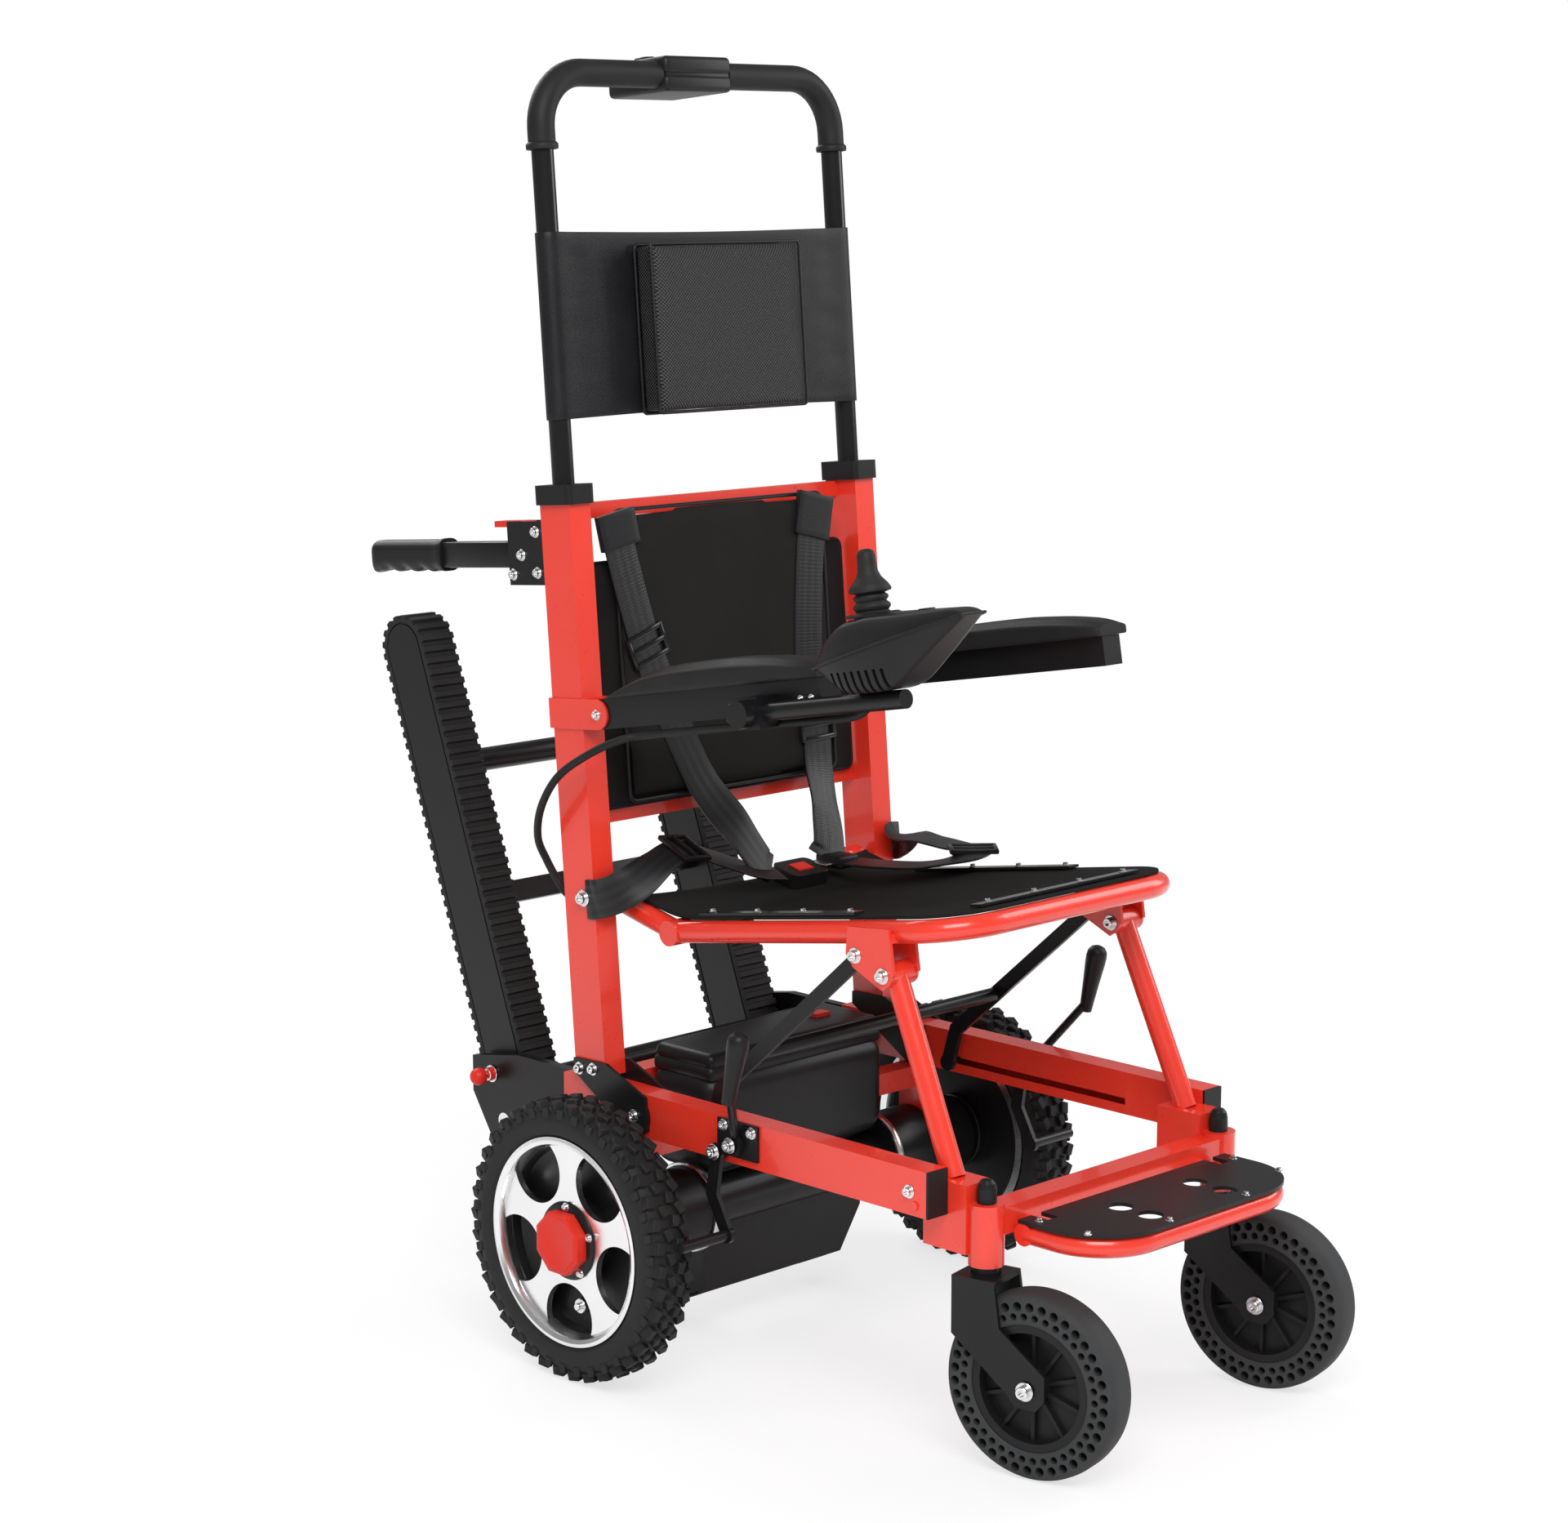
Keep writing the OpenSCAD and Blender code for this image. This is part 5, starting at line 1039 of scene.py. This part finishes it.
# %% [markdown]
# The armrest pads are moulded foam with a leathery skin. Each starts as a subdivided box whose
# cross-section is pulled round, and whose rear end tapers so that it clears the upright when the arm
# flips up.

# %% Armrest pads
PAD_REAR, PAD_FRONT = -0.026, -0.356
PAD_LOW, PAD_HIGH, PAD_HALF = 0.017, 0.047, 0.031
PAD_TOP = [(0, 0.05), (0.08, 0.42), (0.17, 0.76), (0.26, 0.94), (0.40, 1), (0.62, 1), (0.80, 0.88),
           (0.94, 0.68), (1, 0.45)]


def along_line(line, at):
    for (a, p), (b, q) in zip(line, line[1:]):
        if at <= b:
            return p + (q - p) * (at - a) / (b - a)
    return line[-1][1]


def arm_cushion(side):
    def rule(x, y, z):
        run = (1 - y) / 2
        nose = max(0.0, (run - 0.93) / 0.07)
        half = PAD_HALF * (1 - 0.16 * nose * nose) * (1 - 0.10 * max(0.0, 1 - run / 0.2))
        rise = (z + 1) / 2
        pull = 1 - 0.26 * max(0.0, z) ** 4 - 0.10 * max(0.0, -z) ** 6
        drop = 1 - 0.16 * x ** 4 * rise
        return (side * ROD_X + x * half * pull, PAD_REAR + run * (PAD_FRONT - PAD_REAR),
                PAD_LOW + rise * along_line(PAD_TOP, run) * (PAD_HIGH - PAD_LOW) * drop)

    return settle(rounded_off(shaped_box(15, rule)), ON_ARM)


for side, tag in BOTH_SIDES:
    PAD = hand_over(arm_cushion(side), "arm_cushion_" + tag, "arm_" + tag, SOFT_FOAM, "soft_black",
                    "arm_pad_" + tag, angle=60)

# %% [markdown]
# Foam sleeves cover the bent top of the push handle, with a moulded flange at each lower end. A tube
# follows the rod up, round the corner and in to the control box.

# %% Handle sleeves
FOAM_LOW = 1.041


def sleeve_path(side):
    bend, bar, low = 0.062, 1.125, FOAM_LOW
    path = [(side * ROD_X, 0, low + (bar - bend - low) * i / 6) for i in range(7)]
    for i in range(1, 13):
        turn = math.radians(90 * i / 12)
        path.append((side * (ROD_X - bend + bend * math.cos(turn)), 0, bar - bend + bend * math.sin(turn)))
    for i in range(1, 9):
        path.append((side * (ROD_X - bend + (0.052 - ROD_X + bend) * i / 8), 0, bar))
    return [LEANING @ Vector(p) for p in path]


def flange(side):
    ring = lathe([(15, -1), (17.8, -1), (18.2, 1.2), (18.2, 4.6), (16, 7), (15, 7), (15, -1)], 40)
    return settle(ring, LEANING @ shift(side * ROD_X, 0, FOAM_LOW))


SLEEVES = joined([tube(sleeve_path(s), 0.0155, False, 10) for s in SIDES] + [flange(s) for s in SIDES])
hand_over(SLEEVES, "handle_sleeves", "handle", SOFT_FOAM, "soft_black", "grip_sleeve", angle=50)

# %% [markdown]
# The stair control box sits in the middle of the handle: a moulded case with a parting line, a round knob
# in front and two rocker keys on top. No words or signs are put on it.

# %% Stair control box
def control_case():
    parts = [block((104, 102, 19), (0, 32, 1114.5), 6, 4),
             block((104, 102, 20.5), (0, 32, 1135.2), 6, 4),
             block((99, 97, 10), (0, 32, 1124.5), 2)]
    parts += [block((26, 17, 5), (x, 40, 1146), 1.8) for x in (-26, 26)]
    knob = lathe([(0, 9), (8.5, 9), (10, 7.6), (10.5, 0), (13, 0), (13, -4), (0, -4)], 32)
    parts.append(settle(knob, shift(0, 0.068, 1.1440)))
    return settle(joined(parts), LEANING)


hand_over(control_case(), "stair_control", "handle", BLACK_PLASTIC, "black_plastic", "control_box")

# %% [markdown]
# The drive controller is boat shaped: a box whose points are moved onto a keel line, a rim line and a top
# line, with vents cut low in both sides. The joystick stands in a well with a folded rubber boot, and a
# star knob clamps the mounting tube.

# %% Controller and joystick
BOAT_TOP = [(0, 0.42), (0.05, 0.67), (0.22, 0.95), (0.41, 1), (0.97, 0.95), (1, 0.88)]
BOAT_RIM = [(0, 0.38), (0.30, 0.52), (1, 0.86)]
BOAT_KEEL = [(0, 0.34), (0.05, 0.23), (0.19, 0), (0.46, 0), (0.55, 0.06), (1, 0.84)]
BOAT_START, BOAT_LOW, BOAT_X = -0.386, -0.003, -0.257
BOAT_LONG, BOAT_TALL, BOAT_WIDE = 0.206, 0.079, 0.078
VENTS, VENT_PITCH = 8, 0.0105
STICK_Y = -0.455
KNOB_LOBES, KNOB_WAVE = 5, 0.14


def boat_point(run, across, rise):
    """run goes from rear to front, across from side to side, rise from keel past the rim to the top."""
    plan = 1 - 0.55 * (abs(run - 0.45) / 0.55) ** 2.4
    rim = along_line(BOAT_RIM, run)
    if rise <= 0.5:
        up = along_line(BOAT_KEEL, run)
        height = up + (rim - up) * rise * 2
        plan *= 0.60 + 0.40 * (rise * 2) ** 0.5
    else:
        share = rise * 2 - 1
        height = rim + (along_line(BOAT_TOP, run) - rim) * share * (1 - 0.10 * across ** 4)
        plan *= 0.97 - 0.20 * share ** 2.2
    return Vector((BOAT_X + across * plan * BOAT_WIDE / 2, BOAT_START - run * BOAT_LONG,
                   BOAT_LOW + height * BOAT_TALL))


def boat_vents():
    slots = []
    for i in range(VENTS):
        y = (BOAT_START - 0.030 - VENT_PITCH * i) / MM
        slots += [block((30, 4.2, 30), (BOAT_X / MM + s * 31, y, 6), 0.6) for s in SIDES]
    return joined(slots)


def boat_case():
    piece = rounded_off(shaped_box(15, lambda x, y, z: boat_point((1 - y) / 2, x, (z + 1) / 2)))
    cut_away(piece, drum(0.025, 0.04, (BOAT_X, STICK_Y, 0.0850)))
    cut_away(piece, boat_vents())
    collar = lathe([(24.8, 0), (29, 0), (29, 2.2), (26.2, 3.6), (24.8, 2.6), (24.8, 0)], 48)
    settle(collar, shift(BOAT_X, STICK_Y, 0.0735))
    edge = [boat_point(i / 24, -1, 0.5) for i in range(25)]
    edge += [boat_point(1 - i / 24, 1, 0.5) for i in range(25)]
    key = block((16, 11, 4), (BOAT_X / MM, -530, 73.5), 1.4)
    return settle(joined([piece, collar, tube(edge, 0.0016, True, 3), key]), ON_ARM)


def stick():
    boot = [(0, 66), (19.5, 72), (20, 75.5), (16.5, 79), (19.2, 82), (19.2, 85), (15.5, 88.5), (18, 91.5),
            (17.8, 94), (14.5, 96.5), (21.5, 98.5), (22, 101), (19, 106), (13, 113), (10.5, 119),
            (9.8, 128), (9.5, 135), (8, 139.5), (4.5, 141.8), (0, 142.2)]
    return settle(lathe(boot, 48), ON_ARM @ shift(BOAT_X, STICK_Y, 0))


hand_over(boat_case(), "drive_controller", "controller", BLACK_PLASTIC, "black_plastic", "controller_box")
hand_over(stick(), "drive_stick", "stick", TYRE_RUBBER, "soft_black", "joystick", angle=50)


def star_knob():
    knob = drum(0.0135, 0.016, sides=60)
    for spot in knob.data.vertices:
        swollen = 1 + KNOB_WAVE * math.cos(KNOB_LOBES * math.atan2(spot.co.y, spot.co.x))
        spot.co.x *= swollen
        spot.co.y *= swollen
    change(knob, "BEVEL", width=0.0028, segments=3, limit_method="ANGLE", angle_limit=math.radians(50))
    return knob


KNOB_SPOT = ON_ARM @ shift(-0.276, -0.262, -0.013) @ spun(90, "Y")
hand_over(settle(star_knob(), KNOB_SPOT), "clamp_knob", "arm_r", BLACK_PLASTIC, "black_plastic")

# %% [markdown]
# The controller's cable runs under the armrest, turns down behind the upright and goes into the frame. It
# is held all the way, so it is a plain tube on its real route.

# %% Controller cable
CABLE = [(-236, -276, 807), (-236, -273, 797), (-236, -262, 785), (-236, -240, 777), (-236, -200, 770),
         (-236, -60, 746), (-240, 60, 725), (-255, 88, 718), (-268, 125, 700), (-276, 170, 670),
         (-272, 205, 630), (-258, 228, 590), (-240, 234, 560), (-230, 228, 537), (-228, 215, 523),
         (-228, 200, 519)]
LEAD = tube([p * MM for p in flowing(CABLE, 6)], 0.0045, False, 5)
hand_over(LEAD, "controller_lead", None, SOFT_FOAM, "soft_black", "control_cable", angle=60)
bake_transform(LEAD)

# %% [markdown]
# Small fasteners finish the frame: here the screws through the seat strips and the bolts of the collars.

# %% Screws on the frame
STRIP_TOP = 0.0207


def strip_spots():
    spots = []
    up = (0, math.sin(SEAT_RAKE), math.cos(SEAT_RAKE))
    for i in range(4):
        y = 0.026 - 0.0710 * i
        spots += [((s * 176, y / MM, (seat_line(y) + STRIP_TOP) / MM), up, 6) for s in SIDES]
    for i in range(4):
        spots.append(((-111 + 74 * i, -325, (seat_line(-0.325) + STRIP_TOP) / MM), up, 6))
    return spots


screws("seat_screws", "seat", strip_spots())
screws("collar_bolts", "back", [(moved(LEANING, (s * 246.5, -52, 414)), (s, 0, 0), 8) for s in SIDES])

# %% [markdown]
# A lift handle folds out behind each upright so that a second person can steady the chair. Its steel bar
# ends in a moulded grip with finger waves below and a flared butt, which is a box subdivided along its
# length and shaped.

# %% Lift handles
GRIP_START, GRIP_LONG, GRIP_UP = 0.210, 0.132, 0.592
GRIP_WIDE, GRIP_TALL, GRIP_ROUND = 0.0150, 0.0178, 0.22


def grip_spot(x, y, z):
    run = (y + 1) / 2
    flare = 1 + 0.10 * math.exp(-((run - 0.02) / 0.05) ** 2)
    wave = 0.0022 * math.sin(run * 26) * max(0.0, -z) * (0.12 < run < 0.9)
    butt = 0.006 * max(0.0, (run - 0.86) / 0.14) ** 2 * max(0.0, -z)
    trim = 1 - 0.16 * max(0.0, (run - 0.95) / 0.05) ** 2
    return (x * GRIP_WIDE * (1 - GRIP_ROUND * z ** 4) * flare * trim, GRIP_START + run * GRIP_LONG,
            GRIP_UP + z * GRIP_TALL * (1 - GRIP_ROUND * x ** 4) * flare * trim + wave - butt)


GRIP = rounded_off(shaped_box(23, grip_spot))
for side, tag in BOTH_SIDES:
    BAR = block((23.6, 160, 29.6), (0, 132, GRIP_UP / MM), 2.2)
    place = LEANING @ shift(side * ROD_X, 0, 0)
    hand_over(settle(BAR, place), "lift_bar_" + tag, "lift_" + tag, BLACK_PAINT, "black_steel",
              "lift_handle_" + tag)
    hand_over(copy(GRIP, place), "lift_grip_" + tag, "lift_" + tag, BLACK_PLASTIC, "black_plastic",
              angle=60)
bpy.data.objects.remove(GRIP)

# %% [markdown]
# The battery case is blow moulded, so its edges are generous. Three bevelled blocks give the case, its
# shoulder and its lid.

# %% Battery case
def battery():
    case = block((294, 110, 122), (0, 117, 258), 26, 6)
    neck = block((284, 100, 20), (0, 117, 318), 8, 3)
    lid = block((280, 96, 20), (0, 117, 331.5), 9, 4)
    return joined([case, neck, lid])


hand_over(battery(), "battery_shell", "chassis", BLACK_PLASTIC, "black_plastic", "battery_case", angle=50)

# %% [markdown]
# A bright ring clamps each motor to its gearbox. It is turned from bar, so it is a lathe ring on the
# axle.

# %% Motor rings
for side, tag in BOTH_SIDES:
    RING = lathe(mirrored([(49, -5), (51.8, -5), (52.6, -3.6)]), 64)
    settle(RING, shift(side * 0.1520, *WHEEL_AXLE) @ spun(90, "Y"))
    hand_over(RING, "motor_ring_" + tag, "chassis", RIM_ALLOY, "alloy")

# %% [markdown]
# The brake levers end in pear shaped grips, turned on the lathe with a domed top.

# %% Brake grips
for side, tag in BOTH_SIDES:
    PEAR = lathe([(0, -11), (7.4, -11), (8, 0), (9.8, 25), (11.9, 50), (12.3, 59), (11.4, 65),
                  (8.5, 69.5), (4, 71.8), (0, 72.2)], 36)
    settle(PEAR, shift(side * 0.294, -0.123, 0.364) @ spun(13, "X"))
    hand_over(PEAR, "brake_grip_" + tag, "brake_" + tag, BLACK_PLASTIC, "black_plastic", angle=60)

# %% [markdown]
# The casters run on airless tyres. A lathe gives the rounded shoulders, and two rings of cells are cut
# right through.

# %% Caster tyres
CELLS = 38
CASTER_TURN = 12
CASTER_HUBS = {"r": (-0.1792, -0.4636, 0.100), "l": (0.2058, -0.4636, 0.100)}


def airless_tyre():
    half = [(68, 21.5), (69, 22.5), (92, 22.5), (96.2, 20.5), (98.8, 16), (99.9, 9)]
    tyre = lathe(mirrored(half), 114)
    cut_away(tyre, joined([
        settle(drum(across / 2, 0.06, sides=14), spun(360 * (i + offset) / CELLS, "Z") @ shift(far, 0, 0))
        for far, across, offset in ((0.0875, 0.0100, 0.0), (0.0768, 0.0080, 0.5)) for i in range(CELLS)]))
    return tyre


AIRLESS = airless_tyre()
for tag, hub in CASTER_HUBS.items():
    place = shift(*hub) @ spun(CASTER_TURN, "Z") @ spun(90, "Y")
    hand_over(copy(AIRLESS, place), "airless_tyre_" + tag, "caster_" + tag, TREAD_RUBBER, "tyre_rubber",
              "caster_tyre_" + tag)
bpy.data.objects.remove(AIRLESS)

# %% [markdown]
# Plated bolts and nuts show wherever parts are joined: at the brakes, the fold gussets, the seat saddles,
# the lift handles, the footplate, the rails, the armrests, the casters and the track plungers.

# %% Nuts on the moving parts
screws("brake_nuts", "chassis",
       [((s * x, y, z), (s, 0, 0), d) for s in SIDES
        for x, y, z, d in ((258.5, -85, 292, 12), (258.5, -60, 280, 12), (247, -108, 308, 9),
                           (247, -64, 309, 9))])
screws("gusset_bolts", "back",
       [((s * 247, y, z), (s, 0, 0), 10) for s in SIDES for y, z in ((82, 290), (150, 331), (173, 328))])
screws("saddle_bolts", "seat",
       [((s * x, y, z), (s * way, 0, 0), 12) for x, way in ((207, 1), (165, -1)) for s in SIDES
        for y, z in ((-264, 502), (-224, 518))])
screws("lift_bolts", "back",
       [(moved(LEANING, (s * 243.5, y, h)), (s, 0, 0), 9) for s in SIDES
        for y, h in ((36, 618), (36, 572), (62, 592), (78, 570))])
screws("foot_screws", "foot",
       [((s * x, y, 266), (0, 0, 1), 6) for s in SIDES for x, y in ((162, -446), (160, -510), (64, -539))])
screws("rail_bolts", "chassis", [((s * 243, -338, 292), (s, 0, 0), 10) for s in SIDES])
for side, tag in BOTH_SIDES:
    screws("arm_bolts_" + tag, "arm_" + tag,
           [(moved(ON_ARM, (side * 243, y, -3)), (side, 0, 0), 5) for y in (-322, -338)])
    across = spun(CASTER_TURN, "Z") @ Vector((1, 0, 0))
    hub = Vector(CASTER_HUBS[tag]) / MM
    screws("caster_nuts_" + tag, "fork_" + tag,
           [(tuple(hub + across * 30.5 * s), tuple(across * s), 14) for s in SIDES])
    lowest, highest = [Vector(corner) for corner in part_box("track_pin_" + tag)]
    middle = (lowest + highest) / 2 / MM
    screws("plunger_nut_" + tag, "crawler", [((side * 229, middle.y, middle.z), (side, 0, 0), 14)])

# %% [markdown]
# Last, the spare screw that the copies were made from is removed.

# %% Finish
bpy.data.objects.remove(SCREW)
